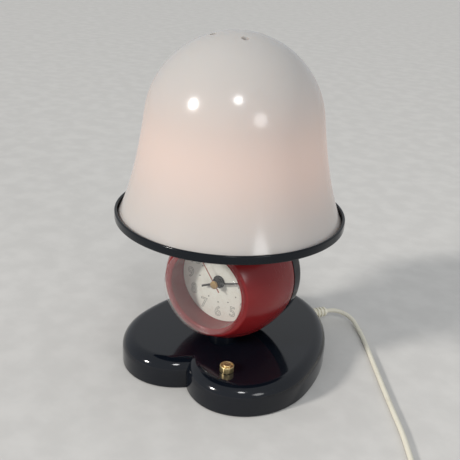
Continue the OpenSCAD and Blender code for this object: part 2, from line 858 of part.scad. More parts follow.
// Time-setting knob on the movement's back
module set_knob() {
    color(satin_black)
        on_clock() {
            difference() {
                translate([0, 0, move_back - 3.4])
                    cylinder(r = set_r, h = 4);
                for (i = [0:11])
                    rotate([0, 0, 30*i])
                        translate([set_r + 0.6, 0, move_back - 4])
                            cylinder(r = 1.2, h = 3);
            }
            translate([0, 0, move_back + 0.5])
                cylinder(r = knob_arbor_r, h = 2.2);
        }
}

// Clockwise angle of each hand from twelve
hour_angle = 30*hours + minutes/2;
minute_angle = 6*minutes;
second_angle = 6*seconds;
hour_f = bush_top + 0.5;
minute_f = hour_f + hand_t + 1;
second_f = minute_f + hand_t + 1;
cap_t = 2.2;

module hand_blade(l, w0, w1, tail) {
    linear_extrude(hand_t)
        polygon([[-w0/2, -tail], [w0/2, -tail], [w1/2, l], [-w1/2, l]]);
}

module hour_hand() {
    color(satin_black)
        on_clock()
            rotate([0, 0, -hour_angle])
                difference() {
                    union() {
                        translate([0, 0, hour_f])
                            hand_blade(hour_l, 2.6, 1.9, 4);
                        translate([0, 0, hour_f])
                            cylinder(r = hour_r + 1, h = hand_t);
                        translate([0, 0, arbor_back + 0.3])
                            cylinder(r = hour_r, h = hour_f + hand_t - arbor_back - 0.3);
                    }
                    cylinder(r = minute_r + arbor_gap, h = 3*hour_f, center = true);
                }
}

module minute_hand() {
    color(satin_black)
        on_clock()
            rotate([0, 0, -minute_angle])
                difference() {
                    union() {
                        translate([0, 0, minute_f])
                            hand_blade(minute_l, 2.1, 1.5, 5);
                        translate([0, 0, minute_f])
                            cylinder(r = hour_r, h = hand_t);
                        translate([0, 0, arbor_back + 0.3])
                            cylinder(r = minute_r, h = minute_f + hand_t - arbor_back - 0.3);
                    }
                    cylinder(r = second_r + arbor_gap, h = 3*minute_f, center = true);
                }
}

module second_hand() {
    color([0.45, 0.12, 0.08])
        on_clock()
            rotate([0, 0, -second_angle]) {
                translate([0, 0, second_f])
                    hand_blade(second_l, 1.1, 0.6, 9);
                translate([0, 0, arbor_back + 0.3])
                    cylinder(r = second_r, h = second_f + hand_t - arbor_back - 0.3);
            }
}

module second_cap() {
    color(brass)
        on_clock()
            translate([0, 0, second_f + hand_t])
                rotate_extrude()
                    polygon(concat([[0, 0], [cap_d/2, 0]],
                        arc_points([cap_d/2 - 0.8, cap_t - 0.8], 0.8, 0, 90, 5), [[0, cap_t]]));
}

// Rear cover: black cap that pushes into the body's rear edge

module rear_cover() {
    spigot_r = body_radius(-seam_b) - body_wall - spigot_gap;
    edge_f = -seam_b - 0.2;
    back_f = -cover_b;
    inner_r = spigot_r - cover_wall;
    inner_fillet = cover_fillet - cover_wall;
    color(gloss_black)
        on_clock()
            rotate_extrude($fn = 96)
                polygon(concat([[0, back_f], [cover_r - cover_fillet, back_f]],
                    arc_points([cover_r - cover_fillet, back_f + cover_fillet], cover_fillet, -90, 0, 8),
                    [[cover_r, edge_f], [spigot_r, edge_f], [spigot_r, edge_f + spigot_l],
                    [inner_r, edge_f + spigot_l]],
                    arc_points([inner_r - inner_fillet, back_f + cover_fillet], inner_fillet, 0, -90, 6),
                    [[0, back_f + cover_wall]]));
}

// Tray: floor and raised rim that hold the shade's mouth

module tray() {
    e = 1.1;
    color(satin_black)
        difference() {
            translate([0, 0, tray_z])
                rotate_extrude($fn = 128)
                    polygon(concat([[0, 0]], arc_points([tray_r - 1.5, 1.5], 1.5, -90, 0, 5),
                        arc_points([tray_r - e, rim_h - e], e, 0, 90, 4),
                        arc_points([tray_r - rim_t + e, rim_h - e], e, 90, 180, 4),
                        [[tray_r - rim_t, tray_t], [0, tray_t]]));
            translate([0, 0, tray_z - 1])
                cylinder(r = nipple_r + hole_gap, h = tray_t + 2);
        }
}

// Lamp holder for a small screw cap, and the bulb

shell_r = bulb_cap_d/2 + 0.15;
shell_z = holder_z + nipple_entry + 9;
cap_z = shell_z + 1.4;
glass_z = holder_top - 1;

module lamp_holder() {
    step_h = nipple_entry + 2;
    color(satin_black)
        translate([0, 0, holder_z])
            difference() {
                union() {
                    cylinder(d = holder_d - 7, h = step_h);
                    translate([0, 0, step_h - 3])
                        cylinder(d1 = holder_d - 7, d2 = holder_d, h = 3);
                    translate([0, 0, step_h])
                        cylinder(d = holder_d, h = holder_h - step_h);
                }
                translate([0, 0, -1])
                    cylinder(r = nipple_r + 0.05, h = nipple_entry + 1);
                translate([0, 0, nipple_entry - 0.5])
                    cylinder(r = nipple_r - nipple_wall, h = 4);
                translate([0, 0, nipple_entry + 3])
                    cylinder(r = 6, h = 6);
                translate([0, 0, shell_z - holder_z])
                    cylinder(d = holder_d - 5, h = holder_h);
            }
}

module holder_shell() {
    color(brass)
        translate([0, 0, shell_z])
            difference() {
                union() {
                    cylinder(r = shell_r + 0.5, h = holder_top - shell_z - 4);
                    cylinder(d = holder_d - 5.2, h = 0.8);
                }
                translate([0, 0, 0.8])
                    cylinder(r = shell_r, h = holder_h);
                translate([0, 0, -1])
                    cylinder(r = 4.5, h = 3);
            }
}

module holder_contact() {
    color(brass)
        translate([-2, -5.2, shell_z - 1.2]) {
            cube([4, 8.2, 0.5]);
            translate([2, 5.2, 0])
                cylinder(d = 4, h = 1.7);
        }
}

module bulb_cap() {
    color(steel)
        translate([0, 0, cap_z])
            rotate_extrude()
                polygon([[0, -0.85], [2.2, -0.85], [2.8, -0.5], [bulb_cap_d/2 - 1.5, 1], [bulb_cap_d/2, 2.5],
                    [bulb_cap_d/2, glass_z - cap_z], [0, glass_z - cap_z]]);
}

module bulb_glass() {
    r = bulb_d/2;
    neck_r = bulb_cap_d/2 - 0.4;
    ball_z = glass_z + r + 7;
    a = -acos(neck_r/r) - 4;
    t = 0.8;
    color([1, 0.93, 0.82, 0.8])
        rotate_extrude()
            polygon(concat([[neck_r, glass_z]], arc_points([0, ball_z], r, a + 14, 90, 24),
                arc_points([0, ball_z], r - t, 90, a + 14, 24), [[neck_r - t, glass_z]]));
}

// Shade: dome, then a wall that flares to the mouth along one smooth curve

dome_z = tray_floor + shade_h - dome_r;
flare_top = [dome_r*cos(dome_tilt), dome_z + dome_r*sin(dome_tilt)];
mouth_r = tray_r - rim_t - mouth_gap;
shade_z = tray_floor + seat_gap;
flare_len = (flare_top.y - shade_z)/3;
flare_nodes = [flare_top, flare_top + flare_len*[sin(dome_tilt), -cos(dome_tilt)],
    [mouth_r, shade_z] + flare_len*[-sin(mouth_tilt), cos(mouth_tilt)], [mouth_r, shade_z]];
function flare(t) = let (s = 1 - t, q = flare_nodes)
    s*s*s*q[0] + 3*s*s*t*q[1] + 3*s*t*t*q[2] + t*t*t*q[3];
function flare_slope(t) = let (s = 1 - t, q = flare_nodes)
    unit(s*s*(q[1] - q[0]) + 2*s*t*(q[2] - q[1]) + t*t*(q[3] - q[2]));
function flare_inset(t, d) = let (v = flare_slope(t)) flare(t) + d*[v.y, -v.x];
function shade_line(d) = concat(
    [for (i = [0:14]) let (a = 90 - (90 - dome_tilt)*i/14) [(dome_r - d)*cos(a), dome_z + (dome_r - d)*sin(a)]],
    [for (i = [1:13]) flare_inset(i/14, d)], [[mouth_r - d/cos(mouth_tilt), shade_z]]);

module shade() {
    inside = shade_line(shade_t);
    n = len(inside);
    color(opal)
        difference() {
            rotate_extrude($fn = 128)
                polygon(concat(shade_line(0), [for (i = [n - 1:-1:0]) inside[i]]));
            for (i = [0:3])
                rotate([0, 0, 45 + 90*i])
                    translate([vent_ring_r, 0, dome_z + dome_r/2])
                        cylinder(d = vent_d, h = dome_r);
        }
}

base_pad();
bottom_plate();
plate_screws();
base_shell();
touch_knob();
knob_screw();
knob_bush();
knob_nut();
sense_wire();
touch_dimmer();
dimmer_screws();
mains_lead();
lamp_lead();
strain_relief();
cord();
cord_coil();
plug();
plug_pins();
lower_collar();
lower_nipple();
nipple_nuts();
upper_collar();
upper_nipple();
clock_body();
clock_lens();
dial();
movement();
shaft_nut();
shaft_washer();
battery();
battery_contacts();
set_knob();
hour_hand();
minute_hand();
second_hand();
second_cap();
rear_cover();
tray();
lamp_holder();
holder_shell();
holder_contact();
bulb_cap();
bulb_glass();
shade();
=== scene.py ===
"""Looks of a table lamp with a clock: a bell shade, a bulging clock body and a two-lobed base."""

import logging
import math
from abc import ABC, abstractmethod
from dataclasses import dataclass, field
from enum import Enum
from typing import Sequence, Union

import bmesh
import bpy
from mathutils import Matrix, Vector


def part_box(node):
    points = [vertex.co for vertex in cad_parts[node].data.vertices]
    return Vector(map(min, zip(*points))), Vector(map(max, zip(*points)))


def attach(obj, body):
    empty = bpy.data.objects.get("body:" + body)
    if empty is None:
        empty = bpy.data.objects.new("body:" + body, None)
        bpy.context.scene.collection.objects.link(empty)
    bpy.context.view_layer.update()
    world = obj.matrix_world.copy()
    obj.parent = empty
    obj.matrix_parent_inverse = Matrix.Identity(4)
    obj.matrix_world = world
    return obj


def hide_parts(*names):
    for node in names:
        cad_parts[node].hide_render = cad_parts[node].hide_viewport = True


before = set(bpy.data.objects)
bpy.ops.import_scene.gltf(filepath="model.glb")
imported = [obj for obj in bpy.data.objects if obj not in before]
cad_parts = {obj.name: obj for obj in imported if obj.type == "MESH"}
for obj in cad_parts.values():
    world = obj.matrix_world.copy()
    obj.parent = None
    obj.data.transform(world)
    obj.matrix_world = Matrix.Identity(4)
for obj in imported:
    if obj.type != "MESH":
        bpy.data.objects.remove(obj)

log = logging.getLogger("lamp")

MM = 0.001
WELD = 2e-6
SMOOTH_BELOW = 35.0
BEVEL_ABOVE = 40.0
FLAT_BELOW = 0.004
Colour = tuple[float, float, float]
Point = tuple[float, float, float]
Spot = tuple[float, float]
Outline = list[Spot]


class Body(Enum):
    """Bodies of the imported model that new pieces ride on."""

    LAMP = "lamp"
    SHADE = "shade"
    REAR_COVER = "rear_cover"
    SECOND = "second_hand"
    MINUTE = "minute_hand"
    HOUR = "hour_hand"
    SET_KNOB = "set_knob"


# Shader maths

Value = Union["Signal", float, Sequence[float]]


class Signal:
    """One output socket of a shader node, with Python's operators for maths on values."""

    def __init__(self, graph: "Graph", socket: bpy.types.NodeSocket) -> None:
        """Keeps the socket and the graph that it belongs to."""
        self.graph = graph
        self.socket = socket

    def maths(self, operation: str, *others: Value) -> "Signal":
        """Adds a Math node.

        Args:
            operation: the node's operation.
            others: the operands after this one.

        Returns:
            The node's result.
        """
        operands = dict(enumerate((self, *others)))
        return self.graph.add("ShaderNodeMath", {"operation": operation}, operands)

    def __add__(self, other: Value) -> "Signal":
        """Sum."""
        return self.maths("ADD", other)

    def __sub__(self, other: Value) -> "Signal":
        """Difference."""
        return self.maths("SUBTRACT", other)

    def __mul__(self, other: Value) -> "Signal":
        """Product."""
        return self.maths("MULTIPLY", other)

    def __truediv__(self, other: Value) -> "Signal":
        """Quotient."""
        return self.maths("DIVIDE", other)

    def __pow__(self, other: Value) -> "Signal":
        """Power."""
        return self.maths("POWER", other)

    def __gt__(self, other: Value) -> "Signal":
        """One where this is larger, else nought."""
        return self.maths("GREATER_THAN", other)

    __radd__ = __add__

    def clamp(self) -> "Signal":
        """Keeps the value between nought and one."""
        return self.graph.add("ShaderNodeClamp", {}, {0: self, 1: 0.0, 2: 1.0})

    def ramp(self, low: float, high: float) -> "Signal":
        """Rises smoothly from nought at low to one at high.

        Args:
            low: value where it starts.
            high: value where it ends.

        Returns:
            The ramp's result.
        """
        settings = {"interpolation_type": "SMOOTHSTEP"}
        inputs = {0: self, 1: low, 2: high, 3: 0.0, 4: 1.0}
        return self.graph.add("ShaderNodeMapRange", settings, inputs)


class Graph:
    """Node tree of one material."""

    def __init__(self, name: str) -> None:
        """Makes the material with its shader and output.

        Args:
            name: the material's name.
        """
        self.material = bpy.data.materials.new(name)
        self.material.use_nodes = True
        self.tree = self.material.node_tree
        self.tree.nodes.clear()
        self.output = self.tree.nodes.new("ShaderNodeOutputMaterial")
        self.shader = self.tree.nodes.new("ShaderNodeBsdfPrincipled")
        self.tree.links.new(self.shader.outputs[0], self.output.inputs["Surface"])
        self.place = self.add("ShaderNodeTexCoord", {}, {}, "Object")

    def plug(self, socket: bpy.types.NodeSocket, value: Value) -> None:
        """Links a signal to a socket, or writes a value on it.

        Args:
            socket: an input of a node.
            value: what goes into it.
        """
        if isinstance(value, Signal):
            self.tree.links.new(value.socket, socket)
        else:
            socket.default_value = value

    def add(self, kind: str, settings: dict, inputs: dict, output: Union[int, str] = 0) -> Signal:
        """Adds a node.

        Args:
            kind: the node's type.
            settings: its settings, which are set first.
            inputs: values or signals by socket name or number.
            output: the output that is returned.

        Returns:
            The wanted output.
        """
        node = self.tree.nodes.new(kind)
        for key, value in settings.items():
            setattr(node, key, value)
        for key, value in inputs.items():
            self.plug(node.inputs[key], value)
        return Signal(self, node.outputs[output])

    def set(self, **values: Value) -> None:
        """Writes the shader's sockets; an underscore in a name stands for a space."""
        for key, value in values.items():
            self.plug(self.shader.inputs[key.replace("_", " ")], value)

    def noise(self, scale: float, detail: float, stretch: Point = (1.0, 1.0, 1.0)) -> Signal:
        """Noise on Object coordinates.

        Args:
            scale: its frequency per metre.
            detail: its octaves.
            stretch: factors on the three axes.

        Returns:
            The noise's value.
        """
        mapped = self.add("ShaderNodeMapping", {}, {"Vector": self.place, "Scale": stretch})
        inputs = {"Vector": mapped, "Scale": scale, "Detail": detail}
        return self.add("ShaderNodeTexNoise", {}, inputs)

    def axis(self, letter: str) -> Signal:
        """One Object coordinate, in metres."""
        return self.add("ShaderNodeSeparateXYZ", {}, {0: self.place}, letter)

    def blend(self, amount: Value, first: Value, second: Value) -> Signal:
        """Mixes two colours by an amount.

        Args:
            amount: share of the second.
            first: a colour.
            second: another colour.

        Returns:
            The mixed colour.
        """
        colours = [v if isinstance(v, Signal) else (*v, 1.0) for v in (first, second)]
        inputs = {0: amount, 6: colours[0], 7: colours[1]}
        return self.add("ShaderNodeMix", {"data_type": "RGBA"}, inputs, 2)

    def bump(self, height: Value, depth: float) -> None:
        """Feeds a Bump node of some depth in metres to the shader's normal."""
        inputs = {"Height": height, "Distance": depth, "Strength": 1.0}
        self.set(Normal=self.add("ShaderNodeBump", {}, inputs))


# Finishes


@dataclass(frozen=True)
class Finish(ABC):
    """A surface finish with one colour and a fine texture."""

    name: str
    colour: Colour
    roughness: float

    def build(self) -> bpy.types.Material:
        """Makes the material.

        Returns:
            The finished material.
        """
        graph = Graph(self.name)
        self.dress(graph)
        return graph.material

    @abstractmethod
    def dress(self, graph: Graph) -> None:
        """Writes the shader; each finish has its own."""


@dataclass(frozen=True)
class GlossPlastic(Finish):
    """Polished moulded plastic with faint dust, hairlines and orange peel."""

    dust: Colour = (0.5, 0.49, 0.47)
    dustiness: float = 0.008
    peel: float = 0.000006
    gleam: float = 0.38

    def dress(self, graph: Graph) -> None:
        """Dust lifts the colour a little, and smears change the roughness.

        Args:
            graph: the material's nodes.
        """
        specks = graph.noise(900.0, 2.0).ramp(0.62, 0.75)
        smears = graph.noise(22.0, 4.0).ramp(0.4, 0.75)
        hairs = graph.noise(120.0, 3.0, (1.0, 9.0, 1.0)).ramp(0.55, 0.7)
        amount = specks * self.dustiness + smears * (self.dustiness * 0.25)
        graph.set(
            Base_Color=graph.blend(amount, self.colour, self.dust),
            Roughness=self.roughness + smears * 0.05 + hairs * 0.03,
            Specular_IOR_Level=self.gleam,
        )
        graph.bump(graph.noise(260.0, 2.0), self.peel)


@dataclass(frozen=True)
class SatinPlastic(Finish):
    """Fine-grained moulded plastic."""

    grain: float = 1500.0
    depth: float = 0.00004
    wear: float = 0.15

    def dress(self, graph: Graph) -> None:
        """Grain in the surface, and a slow change of colour and roughness.

        Args:
            graph: the material's nodes.
        """
        cloud = graph.noise(35.0, 4.0).ramp(0.35, 0.75)
        grain = graph.noise(self.grain, 2.0)
        lighter = tuple(min(1.0, c * (1.0 + self.wear) + 0.004) for c in self.colour)
        graph.set(
            Base_Color=graph.blend(cloud, self.colour, lighter),
            Roughness=self.roughness + cloud * 0.08 + grain * 0.05,
        )
        graph.bump(grain, self.depth)


@dataclass(frozen=True)
class TurnedMetal(Finish):
    """Turned or drawn metal with fine lines and a little tarnish."""

    tarnish: Colour = (0.3, 0.2, 0.08)
    amount: float = 0.35

    def dress(self, graph: Graph) -> None:
        """Tarnish darkens patches, and fine lines break the gloss.

        Args:
            graph: the material's nodes.
        """
        patches = graph.noise(160.0, 4.0).ramp(0.45, 0.75) * self.amount
        lines = graph.noise(2600.0, 2.0, (0.15, 0.15, 1.0))
        graph.set(
            Base_Color=graph.blend(patches, self.colour, self.tarnish),
            Metallic=1.0,
            Roughness=self.roughness + patches * 0.3 + lines * 0.08,
        )
        graph.bump(lines, 0.00001)


@dataclass(frozen=True)
class Flex(Finish):
    """Soft PVC of a mains flex, with slight soiling."""

    soil: Colour = (0.45, 0.42, 0.34)

    def dress(self, graph: Graph) -> None:
        """Soiling in patches and a soft sheen.

        Args:
            graph: the material's nodes.
        """
        soiling = graph.noise(60.0, 5.0).ramp(0.5, 0.85) * 0.35
        skin = graph.noise(1800.0, 2.0)
        graph.set(
            Base_Color=graph.blend(soiling, self.colour, self.soil),
            Roughness=self.roughness + soiling * 0.3,
        )
        graph.bump(skin, 0.00003)


@dataclass(frozen=True)
class Acrylic(Finish):
    """Clear thin acrylic with faint smears: a thin mirror that lets most light through."""

    mirror: float = 0.05
    rim: float = 1.0

    def dress(self, graph: Graph) -> None:
        """Mirrors little face on and much at a glance, as the two faces of a clear wall do.

        Args:
            graph: the material's nodes.
        """
        smears = graph.noise(45.0, 5.0).ramp(0.5, 0.8)
        glance = graph.add("ShaderNodeLayerWeight", {}, {"Blend": 0.5}, "Facing") ** 3.0
        graph.set(
            Base_Color=(*self.colour, 1.0),
            Metallic=1.0,
            Roughness=self.roughness + smears * 0.05,
            Alpha=(glance * self.rim + smears * 0.01 + self.mirror).clamp(),
        )


@dataclass(frozen=True)
class OpalShade(Finish):
    """Glossy opal acrylic with a painted warm glow at the height of the bulb: warm colour and emission
    stand in for a lit bulb inside.
    """

    warm: Colour = (1.0, 0.52, 0.36)
    dust: Colour = (0.5, 0.48, 0.45)
    glow: float = 0.12
    bulb_z: float = 0.236
    spread: float = 0.045

    def dress(self, graph: Graph) -> None:
        """Painted glow: the colour warms and a warm emission shines at the bulb's height, standing in
        for light from a bulb inside.

        Args:
            graph: the material's nodes.
        """
        # Painted glow: a band round the bulb's height that warms the colour and feeds the emission
        up = (graph.axis("Z") - self.bulb_z) / self.spread
        band = (up * up * -1.0).maths("EXPONENT")
        cloud = graph.noise(12.0, 3.0)
        dust = graph.noise(700.0, 2.0).ramp(0.63, 0.75)
        # Painted glow: base colour tinted warm in the band
        body = graph.blend(band * 0.12 + cloud * 0.03, self.colour, self.warm)
        graph.set(
            Base_Color=graph.blend(dust * 0.05, body, self.dust),
            Roughness=self.roughness + cloud * 0.06 + dust * 0.1,
            Subsurface_Weight=0.25,
            Subsurface_Radius=(0.012, 0.009, 0.007),
            Subsurface_Scale=1.0,
            # Painted glow: warm emission in the band, though the shade is no lamp
            Emission_Color=graph.blend(band, (0.0, 0.0, 0.0), self.warm),
            Emission_Strength=self.glow,
        )
        graph.bump(graph.noise(90.0, 2.0), 0.00004)


@dataclass(frozen=True)
class DialPaper(Finish):
    """Cream dial with a mottled print."""

    stain: Colour = (0.62, 0.58, 0.48)

    def dress(self, graph: Graph) -> None:
        """Mottling, foxing and a paper-like surface.

        Args:
            graph: the material's nodes.
        """
        mottle = graph.noise(330.0, 5.0).ramp(0.42, 0.7)
        foxing = graph.noise(90.0, 3.0).ramp(0.55, 0.8)
        graph.set(
            Base_Color=graph.blend(mottle * 0.28 + foxing * 0.15, self.colour, self.stain),
            Roughness=self.roughness,
        )
        graph.bump(mottle, 0.00008)


@dataclass(frozen=True)
class Foam(Finish):
    """Closed-cell foam."""

    def dress(self, graph: Graph) -> None:
        """Cells as a fine bump.

        Args:
            graph: the material's nodes.
        """
        inputs = {"Vector": graph.place, "Scale": 900.0}
        cells = graph.add("ShaderNodeTexVoronoi", {}, inputs, "Distance")
        tone = graph.blend(cells, self.colour, tuple(c * 1.8 for c in self.colour))
        graph.set(Base_Color=tone, Roughness=self.roughness)
        graph.bump(cells, 0.0002)


@dataclass(frozen=True)
class CellWrap(Finish):
    """Printed wrap of a dry cell: two bands of colour along its length."""

    band: Colour = (0.6, 0.4, 0.12)
    rubbed: Colour = (0.5, 0.5, 0.5)
    band_starts: float = 0.012

    def dress(self, graph: Graph) -> None:
        """A coloured band at one end.

        Args:
            graph: the material's nodes.
        """
        at_end = graph.axis("X") > self.band_starts
        rub = graph.noise(400.0, 4.0).ramp(0.5, 0.7) * 0.2
        tone = graph.blend(at_end, self.colour, self.band)
        graph.set(
            Base_Color=graph.blend(rub, tone, self.rubbed),
            Roughness=self.roughness,
            Metallic=0.3,
        )


GLOSS_BLACK = GlossPlastic("gloss_black", (0.003, 0.0045, 0.008), 0.08, gleam=0.42)
SATIN_BLACK = SatinPlastic("satin_black", (0.012, 0.012, 0.013), 0.38)
CLOCK_RED = GlossPlastic("clock_red", (0.205, 0.011, 0.013), 0.22, dustiness=0.012)
OPAL = OpalShade("opal_acrylic", (0.455, 0.442, 0.425), 0.12)
IVORY = SatinPlastic("ivory_plastic", (0.72, 0.69, 0.58), 0.45)
IVORY_FLEX = Flex("ivory_flex", (0.72, 0.69, 0.58), 0.42)
BRASS = TurnedMetal("brass", (0.84, 0.66, 0.34), 0.3, amount=0.2)
STEEL = TurnedMetal("zinc_steel", (0.62, 0.62, 0.6), 0.3, tarnish=(0.25, 0.24, 0.22))
BLACKENED = TurnedMetal("blackened_steel", (0.05, 0.05, 0.05), 0.35, tarnish=(0.02, 0.02, 0.02))
CLEAR = Acrylic("clear_acrylic", (0.93, 0.95, 0.96), 0.03)
CREAM_DIAL = DialPaper("cream_dial", (0.74, 0.745, 0.675), 0.55)
DIAL_INK = SatinPlastic("dial_ink", (0.05, 0.048, 0.042), 0.6)
DIAL_DOT = SatinPlastic("dial_dot", (0.08, 0.07, 0.06), 0.6)
TRAY_BLACK = GlossPlastic("tray_black", (0.004, 0.006, 0.009), 0.11, gleam=0.22)
CAP_BRASS = TurnedMetal("cap_brass", (0.5, 0.33, 0.14), 0.3)
HAND_BLACK = SatinPlastic("hand_black", (0.01, 0.01, 0.01), 0.4)
HAND_RUST = SatinPlastic("hand_rust", (0.3, 0.07, 0.04), 0.4)
PAD_FOAM = Foam("pad_foam", (0.02, 0.02, 0.02), 0.9)
CELL = CellWrap("cell_wrap", (0.03, 0.06, 0.2), 0.3)
BULB_OPAL = SatinPlastic("bulb_opal", (0.9, 0.86, 0.78), 0.25, grain=400.0)
COPPER = TurnedMetal("copper_wire", (0.75, 0.35, 0.2), 0.3)

FINISHED_NODES: dict[Finish, tuple[str, ...]] = {
    PAD_FOAM: ("base_pad",),
    GLOSS_BLACK: ("base_shell", "lower_collar", "upper_collar", "rear_cover"),
    SATIN_BLACK: ("bottom_plate", "knob_bush", "touch_dimmer", "movement", "set_knob", "lamp_holder"),
    TRAY_BLACK: ("tray",),
    CLOCK_RED: ("clock_body",),
    CLEAR: ("clock_lens",),
    OPAL: ("shade",),
    BULB_OPAL: ("bulb_glass",),
    CREAM_DIAL: ("dial",),
    HAND_BLACK: ("hour_hand", "minute_hand"),
    HAND_RUST: ("second_hand",),
    CAP_BRASS: ("second_cap",),
    BRASS: ("touch_knob", "holder_shell", "holder_contact"),
    STEEL: ("plate_screws", "knob_screw", "knob_nut", "dimmer_screws", "lower_nipple", "upper_nipple",
            "nipple_nuts", "battery_contacts", "bulb_cap", "plug_pins"),
    BLACKENED: ("shaft_nut", "shaft_washer"),
    COPPER: ("sense_wire",),
    CELL: ("battery",),
    IVORY: ("strain_relief", "plug"),
    IVORY_FLEX: ("mains_lead", "lamp_lead", "cord", "cord_coil"),
}
NODE_FINISHES = {node: finish for finish, nodes in FINISHED_NODES.items() for node in nodes}


# Shapes


def box(node: str) -> tuple[Vector, Vector]:
    """Returns a CAD node's lowest and highest corners, in millimetres."""
    low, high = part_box(node)
    return Vector(low) / MM, Vector(high) / MM


@dataclass(frozen=True)
class Axis:
    """A line that outlines are turned round: a radius runs across it and a height along it."""

    origin: Point
    along: Point = (0.0, 0.0, 1.0)
    across: Point = (1.0, 0.0, 0.0)

    def place(self, radius: float, height: float) -> Vector:
        """Returns the place in metres of an outline's point, given in millimetres."""
        return (Vector(self.origin) + Vector(self.across) * radius + Vector(self.along) * height) * MM


UPRIGHT = Axis((0.0, 0.0, 0.0))


def arc(centre: Spot, radius: float, start: float, end: float, steps: int) -> Outline:
    """Points on an arc.

    Args:
        centre: its centre.
        radius: its radius.
        start: angle in degrees of its first point.
        end: angle in degrees of its last point.
        steps: how many chords it has.

    Returns:
        The points, both ends among them.
    """
    angles = [math.radians(start + (end - start) * step / steps) for step in range(steps + 1)]
    return [(centre[0] + radius * math.cos(a), centre[1] + radius * math.sin(a)) for a in angles]


def rounded(corners: Sequence[Point], steps: int = 6) -> Outline:
    """Outline with rounded corners.

    Args:
        corners: place of each corner and the radius that rounds it, which may be nought.
        steps: chords in each rounded corner.

    Returns:
        The outline's points.
    """
    line: Outline = []
    for index, (x, y, radius) in enumerate(corners):
        if radius <= 0:
            line.append((x, y))
            continue
        here = Vector((x, y))
        back = (Vector(corners[index - 1][:2]) - here).normalized()
        ahead = (Vector(corners[(index + 1) % len(corners)][:2]) - here).normalized()
        half = back.angle(ahead) / 2
        centre = here + (back + ahead).normalized() * (radius / math.sin(half))
        first = here + back * (radius / math.tan(half)) - centre
        last = here + ahead * (radius / math.tan(half)) - centre
        start = math.atan2(first.y, first.x)
        sweep = (math.atan2(last.y, last.x) - start + math.pi) % (2 * math.pi) - math.pi
        line += arc(centre, radius, math.degrees(start), math.degrees(start + sweep), steps)
    return line


def placed(name: str, data: bpy.types.ID) -> bpy.types.Object:
    """Makes an object of some data and links it to the scene.

    Args:
        name: the object's name.
        data: its mesh, curve, camera or light.

    Returns:
        The object.
    """
    piece = bpy.data.objects.new(name, data)
    bpy.context.scene.collection.objects.link(piece)
    return piece


def shade_smooth(mesh: bmesh.types.BMesh) -> None:
    """Shades faces smooth, but for edges that turn by a wide angle.

    Args:
        mesh: the bmesh to shade.
    """
    limit = math.radians(SMOOTH_BELOW)
    for face in mesh.faces:
        face.smooth = True
    for edge in mesh.edges:
        edge.smooth = edge.is_manifold and edge.calc_face_angle() < limit


def finished(name: str, mesh: bmesh.types.BMesh) -> bpy.types.Object:
    """Makes an object of a bmesh, with doubles merged and faces outwards.

    Args:
        name: the piece's name.
        mesh: its bmesh in metres, which is freed.

    Returns:
        The piece, linked to the scene.
    """
    bmesh.ops.remove_doubles(mesh, verts=mesh.verts, dist=WELD)
    bmesh.ops.recalc_face_normals(mesh, faces=mesh.faces)
    shade_smooth(mesh)
    data = bpy.data.meshes.new(name)
    mesh.to_mesh(data)
    mesh.free()
    return placed(name, data)


def turned(name: str, axis: Axis, outline: Outline, steps: int = 128) -> bpy.types.Object:
    """Turns an outline round an axis; one that starts and ends on the axis stays open there.

    Args:
        name: the piece's name.
        axis: what the outline turns round.
        outline: closed outline in millimetres.
        steps: sides of the turned piece.

    Returns:
        The piece.
    """
    mesh = bmesh.new()
    verts = [mesh.verts.new(axis.place(*spot)) for spot in outline]
    pairs = list(zip(verts, verts[1:]))
    if outline[0][0] > 0 or outline[-1][0] > 0:
        pairs.append((verts[-1], verts[0]))
    edges = [mesh.edges.new(pair) for pair in pairs]
    bmesh.ops.spin(
        mesh,
        geom=verts + edges,
        cent=Vector(axis.origin) * MM,
        axis=Vector(axis.along),
        angle=2 * math.pi,
        steps=steps,
        use_merge=True,
    )
    return finished(name, mesh)


def add_drum(mesh: bmesh.types.BMesh, radii: Spot, depth: float, sides: int, place: Matrix) -> None:
    """Adds a closed drum to a mesh.

    Args:
        mesh: gets the drum.
        radii: radius of its lower and its upper end, in millimetres.
        depth: its length in millimetres.
        sides: how many sides it has.
        place: where its middle is and how it is turned, in metres.
    """
    bmesh.ops.create_cone(
        mesh,
        cap_ends=True,
        segments=sides,
        radius1=radii[0] * MM,
        radius2=radii[1] * MM,
        depth=depth * MM,
        matrix=place,
    )


def merged(node: str, name: str) -> bpy.types.Object:
    """Copies a CAD node's mesh as one smooth shell.

    Args:
        node: the CAD node.
        name: the new piece's name.

    Returns:
        The piece.
    """
    mesh = bmesh.new()
    mesh.from_mesh(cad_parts[node].data)
    bmesh.ops.remove_doubles(mesh, verts=mesh.verts, dist=WELD)
    bmesh.ops.dissolve_limit(mesh, angle_limit=FLAT_BELOW, verts=mesh.verts, edges=mesh.edges)
    return finished(name, mesh)


def soften(piece: bpy.types.Object, width: float) -> None:
    """Bevels a piece's sharp edges.

    Args:
        piece: the piece to soften.
        width: the bevel's width in millimetres.
    """
    bevel = piece.modifiers.new("soften", "BEVEL")
    bevel.width = width * MM
    bevel.segments = 2
    bevel.limit_method = "ANGLE"
    bevel.angle_limit = math.radians(BEVEL_ABOVE)
    bevel.harden_normals = True


def carve(piece: bpy.types.Object, cutter: bpy.types.Object) -> None:
    """Cuts one piece's solid out of another's mesh, and throws the cutter away.

    Args:
        piece: gets the cut.
        cutter: the solid that is cut out.
    """
    cut = piece.modifiers.new("carve", "BOOLEAN")
    cut.operation = "DIFFERENCE"
    cut.solver = "EXACT"
    cut.object = cutter
    whole = piece.data
    view = bpy.context.evaluated_depsgraph_get()
    piece.data = bpy.data.meshes.new_from_object(piece.evaluated_get(view))
    piece.modifiers.clear()
    bpy.data.meshes.remove(whole)
    bpy.data.objects.remove(cutter)
    mesh = bmesh.new()
    mesh.from_mesh(piece.data)
    shade_smooth(mesh)
    mesh.to_mesh(piece.data)
    mesh.free()


